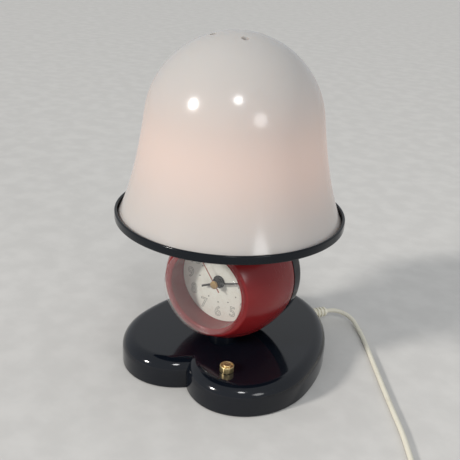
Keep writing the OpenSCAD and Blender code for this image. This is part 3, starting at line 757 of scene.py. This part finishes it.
class Shop:
    """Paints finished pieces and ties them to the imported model."""

    def __init__(self) -> None:
        """Starts with no materials."""
        self.made: dict[str, bpy.types.Material] = {}

    def paint(self, piece: bpy.types.Object, finish: Finish) -> None:
        """Gives a piece one material, which is built once for each finish.

        Args:
            piece: the piece to paint.
            finish: its finish.
        """
        if finish.name not in self.made:
            self.made[finish.name] = finish.build()
        piece.data.materials.clear()
        piece.data.materials.append(self.made[finish.name])

    def fit(self, piece: bpy.types.Object, finish: Finish, *nodes: str, body: Body = Body.LAMP) -> None:
        """Paints a piece and says what it rides on.

        Args:
            piece: the finished piece.
            finish: its finish.
            nodes: CAD nodes that it stands for.
            body: the body that it moves with.
        """
        self.paint(piece, finish)
        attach(piece, body.value)
        if nodes:
            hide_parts(*nodes)
        faces = len(getattr(piece.data, "polygons", ()))
        log.info("%s: %d faces, on %s", piece.name, faces, body.value)


@dataclass
class Assembly(ABC):
    """Pieces of the lamp that are made together."""

    shop: Shop

    @abstractmethod
    def build(self) -> None:
        """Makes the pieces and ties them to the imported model."""


# Sub-assemblies, in millimetres: f is a distance in front of the lamp's axis


@dataclass
class Plug:
    """Flat two-pin plug."""

    thickness: float = 13.7
    length: float = 36.0
    entry_width: float = 14.0
    face_width: float = 35.0
    pin_spread: float = 9.3
    pin_radius: float = 2.0
    pin_length: float = 17.0
    pin_root: float = 8.0
    edge: float = 1.8
    lift: float = 0.05

    @property
    def middle_z(self) -> float:
        """Height of its middle as it lies on the floor."""
        return self.thickness / 2 + self.lift

    def build(self, shop: Shop, back: Vector) -> list[bpy.types.Object]:
        """Makes the body and the pins.

        Args:
            shop: paints and fits pieces.
            back: where the flex goes in.

        Returns:
            Both pieces.
        """
        entry, face, deep = self.entry_width / 2, self.face_width / 2, self.length
        side = [(entry, 0), (entry, 6), (face - 4, deep - 12), (face, deep - 7), (face, deep)]
        outline = [(-x, y) for x, y in side] + side[::-1]
        mesh = bmesh.new()
        foot = back.z - self.thickness / 2
        verts = [mesh.verts.new(Vector((back.x + x, back.y - y, foot)) * MM) for x, y in outline]
        base = mesh.faces.new(verts)
        grown = bmesh.ops.extrude_face_region(mesh, geom=[base])["geom"]
        top = [item for item in grown if isinstance(item, bmesh.types.BMVert)]
        bmesh.ops.translate(mesh, verts=top, vec=(0, 0, self.thickness * MM))
        bmesh.ops.recalc_face_normals(mesh, faces=mesh.faces)
        bmesh.ops.bevel(
            mesh,
            geom=list(mesh.edges),
            offset=self.edge * MM,
            affect="EDGES",
            segments=4,
            profile=0.5,
            material=-1,
            clamp_overlap=True,
        )
        body = finished("plug_body", mesh)
        shop.fit(body, IVORY, "plug")
        radius, tip = self.pin_radius, self.pin_length + self.pin_radius
        root = -self.pin_root
        pin = rounded([(0, root, 0), (radius, root, 0), (radius, tip, radius * 0.95), (0, tip, 0)])
        both = bmesh.new()
        for side_x in (-self.pin_spread, self.pin_spread):
            axis = Axis((back.x + side_x, back.y - deep, back.z), (0.0, -1.0, 0.0))
            one = turned("pin", axis, pin, 32)
            both.from_mesh(one.data)
            bpy.data.objects.remove(one)
        pins = finished("plug_pin_pair", both)
        shop.fit(pins, STEEL, "plug_pins")
        return [body, pins]


@dataclass
class Cord(Assembly):
    """Ivory flex: out of the relief, round on the floor to the right, and wound into a flat coil."""

    plug: Plug
    outlet: Point
    outward: Point
    diameter: float = 5.0
    relief_length: float = 21.0
    bend_radius: float = 21.5
    bend_end: float = 40.0
    bend_steps: int = 6
    straight: float = 3.0
    drop: float = 7.5
    floor_route: tuple[Point, ...] = (
        (105.0, 125.5, 3.2),
        (121.0, 103.5, 2.55),
        (140.0, 76.0, 2.55),
        (160.0, 47.0, 2.55),
        (181.0, 17.0, 2.55),
        (200.5, -10.5, 2.55),
        (214.0, -32.0, 2.55),
        (226.0, -53.0, 2.55),
        (235.0, -74.0, 2.55),
    )
    coil_start: Point = (238.0, -92.0, 2.55)
    coil_inner: float = 20.2
    pitch: float = 5.6
    turns: float = 3.5
    steps_per_turn: int = 24
    length: float = 1714.0

    def relief_place(self, along: float) -> Vector:
        """Returns a point on the relief's line, some way out of the base."""
        return Vector(self.outlet) + Vector(self.outward) * along

    def bend(self) -> list[Vector]:
        """Points on the bend that turns the flex to the right and lets it down.

        Returns:
            The points, the first just past the relief's end.
        """
        out = Vector(self.outward)
        centre = self.relief_place(self.relief_length + self.straight)
        centre += self.bend_radius * Vector((out.y, -out.x, 0))
        start = 90 + math.degrees(math.atan2(out.y, out.x))
        points = []
        for step in range(self.bend_steps + 1):
            t = step / self.bend_steps
            angle = math.radians(start + (self.bend_end - start) * t)
            place = centre + self.bend_radius * Vector((math.cos(angle), math.sin(angle), 0))
            place.z = self.outlet[2] - self.drop * t * t * (2 - t)
            points.append(place)
        return points

    def smooth(self, points: Sequence[Vector]) -> list[Vector]:
        """Adds the middle of every span on a smooth curve through the points.

        Args:
            points: points by hand.

        Returns:
            The points with one more in each span.
        """
        line = []
        for index in range(len(points) - 1):
            before = points[max(index - 1, 0)]
            here, there = points[index], points[index + 1]
            after = points[min(index + 2, len(points) - 1)]
            line += [here, (9 * (here + there) - before - after) / 16]
        return line + [points[-1]]

    def coil(self) -> list[Vector]:
        """Points of the coil: in on the floor, up a layer at its middle, and out above.

        Returns:
            Points from the coil's start to its end.
        """
        outer = self.coil_inner + self.pitch * self.turns
        start = Vector(self.coil_start)
        centre = start + Vector((outer, -self.diameter, 0))
        points = [start]
        for step in range(int(2 * self.turns * self.steps_per_turn) + 1):
            u = step / self.steps_per_turn
            radius = outer - self.pitch * (self.turns - abs(u - self.turns))
            climb = min(1.0, max(0.0, (u - self.turns + 0.25) / 0.5))
            angle = 2 * math.pi * u
            rise = self.pitch * climb * climb * (3 - 2 * climb)
            outwards = Vector((math.cos(angle), math.sin(angle), 0)) * radius
            points.append(centre - outwards + Vector((0, 0, rise)))
        return points

    def line(self) -> list[Vector]:
        """Whole route of the flex.

        Returns:
            Its points, from the relief to the plug.
        """
        coil = self.coil()
        end = coil[-1]
        rise = self.plug.middle_z - end.z
        steps = ((-8, 0), (-26, -0.3), (-44, rise + 0.4), (-56, rise))
        tail = self.smooth([end + Vector((0, y, z)) for y, z in steps])
        ends = (self.relief_length - self.straight, self.relief_length)
        start = [self.relief_place(along) for along in ends]
        floor = self.smooth([Vector(p) for p in self.floor_route])
        return start + self.bend() + floor + coil + tail + [end + Vector((0, -62, rise))]

    def build(self) -> None:
        points = self.line()
        curve = bpy.data.curves.new("mains_flex", "CURVE")
        curve.dimensions = "3D"
        curve.bevel_depth = self.diameter / 2 * MM
        curve.bevel_resolution = 3
        curve.resolution_u = 4
        curve.use_fill_caps = True
        spline = curve.splines.new("BEZIER")
        spline.bezier_points.add(len(points) - 1)
        for knot, place in zip(spline.bezier_points, points):
            knot.co = place * MM
            knot.handle_left_type = "AUTO"
            knot.handle_right_type = "AUTO"
        flex = placed("mains_flex", curve)
        self.shop.fit(flex, IVORY_FLEX, "cord", "cord_coil")
        tuple(points[0] * MM)
        self.diameter * MM
        self.plug.build(self.shop, points[-1])


@dataclass
class Relief(Assembly):
    """Ribbed strain relief where the flex leaves the base."""

    cord: Cord
    bore: float = 2.55
    collar: float = 6.8
    rib: float = 6.3
    core: float = 4.6
    ribs: int = 4
    taper: float = 0.2
    first_rib: float = 4.0
    collar_end: float = 2.5
    neck: float = 4.0
    flange: float = 5.5
    wall_depth: float = 3.4
    inner_end: float = 5.4

    def build(self) -> None:
        """Makes the relief as one turned piece."""
        long = self.cord.relief_length
        pitch = (long - self.first_rib) / self.ribs
        corners = [(self.bore, long, 0.4), (self.core - 0.8, long, 0.5)]
        for index in reversed(range(self.ribs)):
            foot = self.first_rib + index * pitch
            top = foot + 0.6 * pitch
            radius = self.rib - self.taper * index
            core = self.core - self.taper * index
            corners += [(core, top, 0.2), (radius - 0.35, top, 0.6)]
            corners += [(radius, foot, 0.6), (core, foot, 0.2)]
        corners += [
            (self.core + 0.4, self.collar_end, 0.2),
            (self.collar, self.collar_end, 0.7),
            (self.collar, 0.1, 0.3),
            (self.neck, 0.1, 0),
            (self.neck, -self.wall_depth, 0),
            (self.flange, -self.wall_depth, 0.3),
            (self.flange, -self.inner_end, 0.3),
            (self.bore, -self.inner_end, 0),
        ]
        axis = Axis(self.cord.outlet, self.cord.outward, (0.0, 0.0, 1.0))
        boot = turned("strain_relief_boot", axis, rounded(corners, 3), 48)
        self.shop.fit(boot, IVORY, "strain_relief")


@dataclass
class HeartBase(Assembly):
    """Gloss black base moulding: two lobes in front, half an ellipse behind, hollow below."""

    lobe_half_width: float = 61.5
    lobe_half_length: float = 74.5
    lobe_x: float = 39.5
    lobe_y: float = 9.0
    tail_y: float = 133.0
    height: float = 30.0
    fillet: float = 12.5
    wall: float = 3.0
    rim_z: float = 1.0
    lobe_steps: int = 40
    tail_steps: int = 36

    def section(self) -> Outline:
        """Inset and height of the wall's points.

        Returns:
            The line from the underside of the top, down inside, and up outside to the top face.
        """
        flat = self.fillet + 1.5
        under = self.height - self.wall
        return rounded(
            [
                (flat, under, 0),
                (self.wall, under, self.fillet - self.wall),
                (self.wall, self.rim_z, 0.3),
                (0, self.rim_z, 0.7),
                (0, self.height, self.fillet),
                (flat, self.height, 0),
            ],
            12,
        )

    def lobe(self, share: float, inset: float) -> Spot:
        """Place on the right lobe; share runs from the notch to the side.

        Args:
            share: how far along the lobe.
            inset: how far inside the wall.

        Returns:
            The place, in millimetres.
        """
        across, along = self.lobe_half_width - inset, self.lobe_half_length - inset
        angle = -math.acos(-self.lobe_x / across) * (1 - share)
        return self.lobe_x + across * math.cos(angle), -self.lobe_y + along * math.sin(angle)

    def tail(self, share: float, inset: float) -> Spot:
        """Place on the tail; share runs from the side to the back.

        Args:
            share: how far along the tail.
            inset: how far inside the wall.

        Returns:
            The place, in millimetres.
        """
        across, deep = self.lobe_x + self.lobe_half_width, self.tail_y + self.lobe_y
        angle = share * math.pi / 2
        square = Vector((math.cos(angle) / across, math.sin(angle) / deep)).normalized() * inset
        return across * math.cos(angle) - square.x, deep * math.sin(angle) - self.lobe_y - square.y

    def outlet(self, height: float, angle: float) -> tuple[Point, Point]:
        """Where the flex leaves the tail.

        Args:
            height: height of the outlet.
            angle: its place on the tail's curve, in degrees.

        Returns:
            The outlet and the direction square to the wall.
        """
        here = Vector(self.tail(angle / 90, 0))
        outward = (here - Vector(self.tail(angle / 90, 1.0))).normalized()
        return (here.x, here.y, height), (outward.x, outward.y, 0.0)

    def build(self) -> None:
        """Bridges the wall's sections from the notch to the back, mirrors them and closes the top."""
        mesh = bmesh.new()
        places = [(self.lobe, step / self.lobe_steps) for step in range(self.lobe_steps + 1)]
        places += [(self.tail, step / self.tail_steps) for step in range(1, self.tail_steps + 1)]
        before = None
        for place, share in places:
            spots = [(*place(share, inset), z) for inset, z in self.section()]
            verts = [mesh.verts.new(Vector(spot) * MM) for spot in spots]
            chain = [mesh.edges.new(pair) for pair in zip(verts, verts[1:])]
            if before is not None:
                bmesh.ops.bridge_loops(mesh, edges=before + chain)
            before = chain
        whole = list(mesh.verts) + list(mesh.edges) + list(mesh.faces)
        bmesh.ops.mirror(mesh, geom=whole, matrix=Matrix.Identity(4), merge_dist=WELD, axis="X")
        bmesh.ops.remove_doubles(mesh, verts=mesh.verts, dist=WELD)
        rims = [edge for edge in mesh.edges if edge.is_boundary]
        bmesh.ops.edgeloop_fill(mesh, edges=rims)
        self.shop.fit(finished("base_moulding", mesh), GLOSS_BLACK, "base_shell")


@dataclass
class TouchKnob(Assembly):
    """Turned brass knob with a raised lip and a dimpled button."""

    radius: float = 6.75
    height: float = 7.5

    def build(self) -> None:
        """Turns the knob round its own place."""
        low, high = box("touch_knob")
        middle = (low + high) / 2
        r, h = self.radius, self.height
        corners = [
            (0, 0, 0),
            (r, 0, 0.6),
            (r, h - 0.9, 0.7),
            (r - 1.4, h - 0.9, 0.55),
            (0.75 * r, h - 1.8, 0.25),
            (0.6 * r, h - 1.8, 0.25),
            (0.58 * r, h, 0.7),
            (1.5, h, 0.3),
            (0.9, h - 0.45, 0.2),
            (0, h - 0.5, 0),
        ]
        piece = turned("touch_knob_turned", Axis((middle.x, middle.y, low.z)), rounded(corners), 96)
        self.shop.fit(piece, BRASS, "touch_knob")


@dataclass
class Clock(Assembly):
    """Red bulging case with its deep tube, clear lens, dial, cap and black rear cover."""

    height: float = 95.5
    radius: float = 63.3
    wide_f: float = -16.0
    swell: float = 2.4
    seam_f: float = -27.0
    seam_radius: float = 62.2
    ring_radius: float = 47.2
    ring_f: float = 38.6
    lip_edge: float = 2.6
    lip_depth: float = 3.2
    mouth: float = 40.0
    wall: float = 3.0
    bore: float = 42.9
    tube_wall: float = 2.3
    ledge: float = 1.7
    dial_f: float = 13.6
    dial_thick: float = 1.2
    lens_radius: float = 43.7
    lens_f: float = 47.0
    lens_wall: float = 1.5
    cover_f: float = -46.0
    cover_fillet: float = 9.0
    cover_wall: float = 2.5
    cap_radius: float = 4.0
    numeral_radius: float = 33.6
    numeral_size: float = 15.5
    dot_radius: float = 22.7
    dot_size: float = 0.75
    dial_hole: float = 4.1
    spigot_length: float = 5.0
    join_f: float = 30.0
    skin_steps: int = 30

    @property
    def axis(self) -> Axis:
        """The clock's axis, which points out of the dial."""
        return Axis((0.0, 0.0, self.height), (0.0, -1.0, 0.0))

    def skin(self, f: float) -> float:
        """Radius of the case's skin, a barrel that narrows more to the front.

        Args:
            f: distance in front of the lamp's axis.

        Returns:
            The radius there.
        """
        if f > self.wide_f:
            share = (f - self.wide_f) / (self.ring_f - self.wide_f)
            return self.radius - (self.radius - self.ring_radius) * share**self.swell
        share = (self.wide_f - f) / (self.wide_f - self.seam_f)
        return self.radius - (self.radius - self.seam_radius) * share**2

    def case(self) -> None:
        """Turns the red case."""
        front = self.dial_f - self.dial_thick
        corners = [(self.mouth, self.ring_f, 1.4), (self.ring_radius, self.ring_f, self.lip_edge)]
        steps = self.skin_steps
        low = self.ring_f - 2 * self.lip_edge
        outside = [low + (self.seam_f - low) * step / steps for step in range(steps)]
        corners += [(self.skin(f), f, 0) for f in outside]
        corners += [(self.skin(self.seam_f), self.seam_f, 0.5)]
        deep = self.join_f - self.seam_f
        hollow = [self.seam_f + deep * step / steps for step in range(steps + 1)]
        corners += [(self.skin(f) - self.wall, f, 0) for f in hollow]
        outer, inner = self.bore + self.tube_wall, self.bore - self.ledge
        foot = front - self.ledge
        corners += [(outer, self.join_f - 4, 0), (outer, foot, 0.3), (inner, foot, 0.3)]
        back = self.ring_f - self.lip_depth
        corners += [(inner, front, 0.3), (self.bore, front, 0)]
        corners += [(self.bore, back, 0.5), (self.mouth, back, 0.8)]
        piece = turned("clock_case", self.axis, rounded(corners, 5), 160)
        self.shop.fit(piece, CLOCK_RED, "clock_body")

    def lens(self) -> None:
        """Turns the clear lens, a shallow cup with a rounded rim."""
        outer, foot = self.lens_radius, self.ring_f + 0.05
        inner = outer - self.lens_wall
        corners = [
            (0, self.lens_f, 0),
            (outer, self.lens_f, 2.4),
            (outer, foot, 0.3),
            (inner, foot, 0.3),
            (inner, self.lens_f - self.lens_wall, 0.9),
            (0, self.lens_f - self.lens_wall, 0),
        ]
        self.shop.fit(turned("lens_cup", self.axis, rounded(corners), 160), CLEAR, "clock_lens")

    def rear_cover(self) -> None:
        """Turns the rear cover with its spigot."""
        outer = self.seam_radius + 0.6
        spigot = self.seam_radius - self.wall - 0.3
        edge = self.seam_f - 0.2
        tip = edge + self.spigot_length
        inner = spigot - self.cover_wall
        corners = [
            (0, self.cover_f, 0),
            (outer, self.cover_f, self.cover_fillet),
            (outer, edge, 0.5),
            (spigot, edge, 0),
            (spigot, tip, 0.4),
            (inner, tip, 0.4),
            (inner, self.cover_f + self.cover_wall, self.cover_fillet - self.cover_wall),
            (0, self.cover_f + self.cover_wall, 0),
        ]
        piece = turned("rear_cover_cap", self.axis, rounded(corners, 10), 160)
        self.shop.fit(piece, GLOSS_BLACK, "rear_cover", body=Body.REAR_COVER)

    def dial(self) -> None:
        """Turns the dial and prints twelve outlined numerals and hour dots on it."""
        front, back = self.dial_f, self.dial_f - self.dial_thick
        edge, hole = self.bore - 0.15, self.dial_hole
        corners = [(hole, back, 0), (edge, back, 0), (edge, front, 0.3), (hole, front, 0.1)]
        self.shop.fit(turned("dial_plate", self.axis, rounded(corners)), CREAM_DIAL, "dial")
        numerals = bmesh.new()
        dots = bmesh.new()
        for hour in range(1, 13):
            angle = math.radians(90 - 30 * hour)
            way = Vector((math.cos(angle), math.sin(angle)))
            self.print_numeral(numerals, str(hour), way * self.numeral_radius)
            spot = self.axis.place(0, self.dial_f)
            spot += Vector((way.x, 0, way.y)) * self.dot_radius * MM
            turn = Matrix.Translation(spot) @ Matrix.Rotation(math.pi / 2, 4, "X")
            add_drum(dots, (self.dot_size, self.dot_size - 0.05), 0.12, 16, turn)
        self.shop.fit(finished("dial_numerals", numerals), DIAL_INK)
        self.shop.fit(finished("dial_dots", dots), DIAL_DOT)

    def print_numeral(self, mesh: bmesh.types.BMesh, text: str, middle: Vector) -> None:
        """Adds one numeral's outline to a mesh.

        Args:
            mesh: gets the numeral.
            text: what it says.
            middle: its middle on the dial.
        """
        curve = bpy.data.curves.new("numeral", "FONT")
        curve.body = text
        curve.size = self.numeral_size * MM
        curve.align_x = "CENTER"
        curve.align_y = "CENTER"
        curve.fill_mode = "NONE"
        curve.bevel_depth = 0.2 * MM
        curve.bevel_resolution = 1
        curve.space_character = 0.9
        stencil = placed("numeral", curve)
        view = bpy.context.evaluated_depsgraph_get()
        data = bpy.data.meshes.new_from_object(stencil.evaluated_get(view))
        place = Vector((middle.x, -self.dial_f, self.height + middle.y)) * MM
        data.transform(Matrix.Translation(place) @ Matrix.Rotation(math.pi / 2, 4, "X"))
        mesh.from_mesh(data)
        bpy.data.objects.remove(stencil)
        bpy.data.meshes.remove(data)

    def cap(self) -> None:
        """Turns the domed cap on the second hand."""
        low, high = box("second_cap")
        foot, top, r = -high.y, -low.y, self.cap_radius
        corners = [(0, foot, 0), (r, foot, 0.15), (r, top - 0.2, 0.7), (r - 1.2, top, 0.8), (0, top, 0)]
        piece = turned("second_cap_turned", self.axis, rounded(corners), 64)
        self.shop.fit(piece, CAP_BRASS, "second_cap", body=Body.SECOND)

    def build(self) -> None:
        """Builds all pieces of the clock."""
        for make in (self.case, self.lens, self.rear_cover, self.dial, self.cap):
            make()


@dataclass
class Tray(Assembly):
    """Gloss black tray whose raised rim holds the shade."""

    radius: float = 110.0
    rim_height: float = 8.3
    rim_wall: float = 2.6
    floor: float = 2.5
    hole: float = 5.2

    def build(self) -> None:
        """Turns the tray."""
        low, _ = box("tray")
        inner = self.radius - self.rim_wall
        corners = [
            (self.hole, 0, 0.3),
            (self.radius, 0, 1.5),
            (self.radius, self.rim_height, 1.1),
            (inner, self.rim_height, 1.1),
            (inner, self.floor, 0.5),
            (self.hole, self.floor, 0.3),
        ]
        piece = turned("tray_moulding", Axis((0.0, 0.0, low.z)), rounded(corners), 192)
        self.shop.fit(piece, TRAY_BLACK, "tray")


@dataclass
class Shade(Assembly):
    """Opal bell shade: a dome that runs into a flared wall, with four vents near the top."""

    dome_radius: float = 83.0
    dome_tilt: float = 7.4
    mouth_radius: float = 106.9
    mouth_tilt: float = 24.0
    wall: float = 3.0
    vent_ring: float = 22.7
    vent_radius: float = 3.5
    vents: int = 4
    vent_turn: float = 45.0
    steps: int = 28

    def flare(self, foot: float, dome_z: float, inset: float) -> Outline:
        """Points on the flared wall, without its two ends.

        Args:
            foot: height of the mouth.
            dome_z: height of the dome's centre.
            inset: how far the line lies inside the outer face.

        Returns:
            The points from the dome down.
        """
        lean, spread = math.radians(self.dome_tilt), math.radians(self.mouth_tilt)
        top = Vector((self.dome_radius * math.cos(lean), dome_z + self.dome_radius * math.sin(lean)))
        mouth = Vector((self.mouth_radius, foot))
        handle = (top.y - foot) / 3
        first = top + handle * Vector((math.sin(lean), -math.cos(lean)))
        last = mouth + handle * Vector((-math.sin(spread), math.cos(spread)))
        points = []
        for step in range(1, self.steps):
            t = step / self.steps
            s = 1 - t
            place = s**3 * top + 3 * s * s * t * first + 3 * s * t * t * last + t**3 * mouth
            way = s * s * (first - top) + 2 * s * t * (last - first) + t * t * (mouth - last)
            way.normalize()
            place += inset * Vector((way.y, -way.x))
            points.append((place.x, place.y))
        return points

    def line(self, foot: float, dome_z: float, inset: float) -> list[Point]:
        """Corners of one face of the shade, from its top to above its mouth.

        Args:
            foot: height of the mouth.
            dome_z: height of the dome's centre.
            inset: how far the line lies inside the outer face.

        Returns:
            Corners that aren't rounded.
        """
        dome = arc((0, dome_z), self.dome_radius - inset, 90, self.dome_tilt, self.steps)
        dome[0] = (0.0, dome[0][1])
        return [(x, y, 0) for x, y in dome + self.flare(foot, dome_z, inset)]

    def build(self) -> None:
        """Turns the shade and cuts its vents."""
        low, high = box("shade")
        foot, dome_z = low.z, high.z - self.dome_radius
        inner_mouth = self.mouth_radius - self.wall / math.cos(math.radians(self.mouth_tilt))
        corners = self.line(foot, dome_z, 0) + [(self.mouth_radius, foot, 0.9), (inner_mouth, foot, 0.9)]
        corners += reversed(self.line(foot, dome_z, self.wall))
        piece = turned("shade_bell", UPRIGHT, rounded(corners), 192)
        drills = bmesh.new()
        for index in range(self.vents):
            angle = math.radians(self.vent_turn + 360 / self.vents * index)
            spot = Vector((math.cos(angle), math.sin(angle), 0)) * self.vent_ring
            spot.z = high.z
            add_drum(drills, (self.vent_radius,) * 2, 40, 32, Matrix.Translation(spot * MM))
        carve(piece, finished("vent_drills", drills))
        soften(piece, 0.5)
        self.shop.fit(piece, OPAL, "shade", body=Body.SHADE)


@dataclass
class Bulb(Assembly):
    """Small opal bulb with a rolled screw cap."""

    bulb_radius: float = 22.5
    cap_radius: float = 6.9
    threads: int = 5

    def build(self) -> None:
        """Turns the bulb's glass and its cap."""
        low, high = box("bulb_glass")
        neck = self.cap_radius - 0.4
        ball_z = high.z - self.bulb_radius
        start = -math.degrees(math.acos(neck / self.bulb_radius)) + 10
        ball = arc((0, ball_z), self.bulb_radius, start, 90, 30)
        inside = arc((0, ball_z), self.bulb_radius - 0.8, 90, start, 30)
        ball[-1] = (0.0, ball[-1][1])
        inside[0] = (0.0, inside[0][1])
        outline = [(0.0, inside[0][1])] + inside[1:] + [(neck - 0.8, low.z), (neck, low.z)] + ball
        self.shop.fit(turned("bulb_envelope", UPRIGHT, outline, 96), BULB_OPAL, "bulb_glass")
        foot, rim = box("bulb_cap")
        crest, root = self.cap_radius, self.cap_radius - 0.7
        corners = [(0, foot.z, 0), (2.6, foot.z, 0.3), (crest - 1.5, foot.z + 1.9, 0.3)]
        pitch = (rim.z - foot.z - 6.5) / self.threads
        for index in range(self.threads):
            z = foot.z + 3.5 + index * pitch
            corners += [(root, z, 0.5), (crest, z + pitch / 2, 0.6)]
        corners += [(root, rim.z - 2.5, 0.4), (crest, rim.z, 0.3), (0, rim.z, 0)]
        self.shop.fit(turned("bulb_screw_cap", UPRIGHT, rounded(corners, 3), 64), STEEL, "bulb_cap")


@dataclass
class SoftenedParts(Assembly):
    """Pieces whose CAD shape holds, merged and given edges of a width in millimetres."""

    widths: dict[str, float] = field(
        default_factory=lambda: {
            "base_pad": 0.3,
            "bottom_plate": 0.0,
            "lower_collar": 0.0,
            "upper_collar": 0.0,
            "upper_nipple": 0.15,
            "nipple_nuts": 0.2,
            "shaft_nut": 0.15,
            "shaft_washer": 0.1,
            "movement": 0.0,
            "battery": 0.3,
            "lamp_holder": 0.4,
            "holder_shell": 0.1,
            "lamp_lead": 0.0,
            "set_knob": 0.2,
            "hour_hand": 0.0,
            "minute_hand": 0.0,
            "second_hand": 0.0,
        }
    )

    def build(self) -> None:
        """Copies each node, softens its edges and fits it; the hands and the knob have own bodies."""
        moving = {body.value: body for body in Body}
        for node, width in self.widths.items():
            piece = merged(node, node + "_soft")
            if width > 0:
                soften(piece, width)
            self.shop.fit(piece, NODE_FINISHES[node], node, body=moving.get(node, Body.LAMP))


# Camera, light and floor


@dataclass
class Viewpoint:
    """The photograph's camera round the lamp's axis."""

    focal_px: float = 739.82
    picture_px: float = 460.0
    sensor: float = 36.0
    azimuth: float = math.radians(30.767)
    reach: float = 0.66233
    height: float = 0.42774
    yaw: float = math.radians(-0.094)
    pitch: float = math.radians(23.028)
    roll: float = math.radians(3.015)

    def place(self) -> None:
        """Makes the camera and sets it as the scene's own."""
        data = bpy.data.cameras.new("camera")
        data.sensor_width = self.sensor
        data.lens = self.focal_px / self.picture_px * self.sensor
        data.clip_start = 0.01
        camera = placed("camera", data)
        turn = self.azimuth + self.yaw
        level = Vector((-math.sin(turn), math.cos(turn), 0.0))
        ahead = level * math.cos(self.pitch) - Vector((0.0, 0.0, math.sin(self.pitch)))
        right = ahead.cross(Vector((0.0, 0.0, 1.0))).normalized()
        up = right.cross(ahead)
        right, up = (
            right * math.cos(self.roll) + up * math.sin(self.roll),
            up * math.cos(self.roll) - right * math.sin(self.roll),
        )
        facing = Matrix((right, up, -ahead)).transposed().to_4x4()
        away = Vector((math.sin(self.azimuth), -math.cos(self.azimuth), 0.0)) * self.reach
        camera.matrix_world = Matrix.Translation((away.x, away.y, self.height)) @ facing
        bpy.context.scene.camera = camera


@dataclass
class Light(ABC):
    """A light that shines from one direction."""

    name: str
    towards: Point
    strength: float
    colour: Colour = (1.0, 1.0, 1.0)

    @abstractmethod
    def source(self) -> bpy.types.Light:
        """Makes the light's data, without its colour."""

    def make(self) -> bpy.types.Object:
        """Adds the light to the scene.

        Returns:
            The light, turned to shine from its direction.
        """
        data = self.source()
        data.color = self.colour
        lamp = placed(self.name, data)
        lamp.rotation_euler = Vector(self.towards).to_track_quat("Z", "Y").to_euler()
        return lamp


@dataclass
class Sun(Light):
    """Soft key light that falls evenly."""

    spread: float = 8.0

    def source(self) -> bpy.types.Light:
        """Makes a sun whose disc is as wide as its spread in degrees.

        Returns:
            The light's data.
        """
        data = bpy.data.lights.new(self.name, "SUN")
        data.energy = self.strength
        data.angle = math.radians(self.spread)
        return data


@dataclass
class Panel(Light):
    """Round soft box that looks at the lamp; its glare is what polished parts show."""

    reach: float = 2.0
    size: float = 0.3
    aim: Point = (0.0, 0.0, 0.12)

    def source(self) -> bpy.types.Light:
        """Makes a disc whose power gives the wanted glare at its size.

        Returns:
            The light's data.
        """
        data = bpy.data.lights.new(self.name, "AREA")
        data.shape = "DISK"
        data.size = self.size
        data.energy = self.strength * (math.pi * self.size / 2) ** 2
        return data

    def make(self) -> bpy.types.Object:
        """Adds the light at its distance from what it is aimed at.

        Returns:
            The light.
        """
        lamp = super().make()
        lamp.location = Vector(self.aim) + Vector(self.towards).normalized() * self.reach
        return lamp


@dataclass
class Studio:
    """Pale floor, pale surroundings, a soft sun and two soft boxes where the gloss shows them."""

    floor_colour: Colour = (0.63, 0.62, 0.6)
    world_colour: Colour = (0.97, 1.0, 1.03)
    world_light: float = 0.55
    lights: list[Light] = field(
        default_factory=lambda: [
            Sun("key", (-0.43, -0.79, 0.44), 2.2, (1.0, 0.96, 0.91), spread=8.0),
            Panel("window", (0.42, -0.60, 0.72), 24.0, reach=2.0, size=0.34),
            Panel("side", (0.83, -0.42, 0.36), 6.0, reach=1.8, size=0.5),
        ]
    )

    def floor(self) -> None:
        """Makes the floor, with a soft grain."""
        mesh = bpy.data.meshes.new("floor")
        plane = bmesh.new()
        bmesh.ops.create_grid(plane, x_segments=1, y_segments=1, size=6.0)
        plane.to_mesh(mesh)
        plane.free()
        floor = placed("floor", mesh)
        graph = Graph("floor")
        mottle = graph.noise(30.0, 6.0).ramp(0.35, 0.7)
        darker = tuple(c * 0.93 for c in self.floor_colour)
        graph.set(
            Base_Color=graph.blend(mottle, darker, self.floor_colour),
            Roughness=0.8,
            Specular_IOR_Level=0.2,
        )
        mesh.materials.append(graph.material)

    def world(self) -> None:
        """Makes the pale surroundings."""
        world = bpy.data.worlds.new("studio")
        bpy.context.scene.world = world
        world.use_nodes = True
        tree = world.node_tree
        back = tree.nodes["Background"]
        back.inputs["Color"].default_value = (*self.world_colour, 1.0)
        back.inputs["Strength"].default_value = self.world_light

    def make(self) -> None:
        """Builds the floor, the surroundings and the lights."""
        self.floor()
        self.world()
        for light in self.lights:
            light.make()


def main() -> None:
    """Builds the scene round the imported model."""
    logging.basicConfig(level=logging.INFO, format="%(message)s")
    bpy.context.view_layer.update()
    Viewpoint().place()
    shop = Shop()
    for name, finish in NODE_FINISHES.items():
        shop.paint(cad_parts[name], finish)
    base = HeartBase(shop)
    flex = Cord(shop, Plug(), *base.outlet(height=12.5, angle=65.0))
    assemblies = [flex, Relief(shop, flex), base]
    assemblies += [kind(shop) for kind in (TouchKnob, Clock, Tray, Shade, Bulb, SoftenedParts)]
    for assembly in assemblies:
        assembly.build()
    Studio().make()
    bpy.context.scene.view_settings.view_transform = "Standard"


if __name__ == "__main__":
    main()
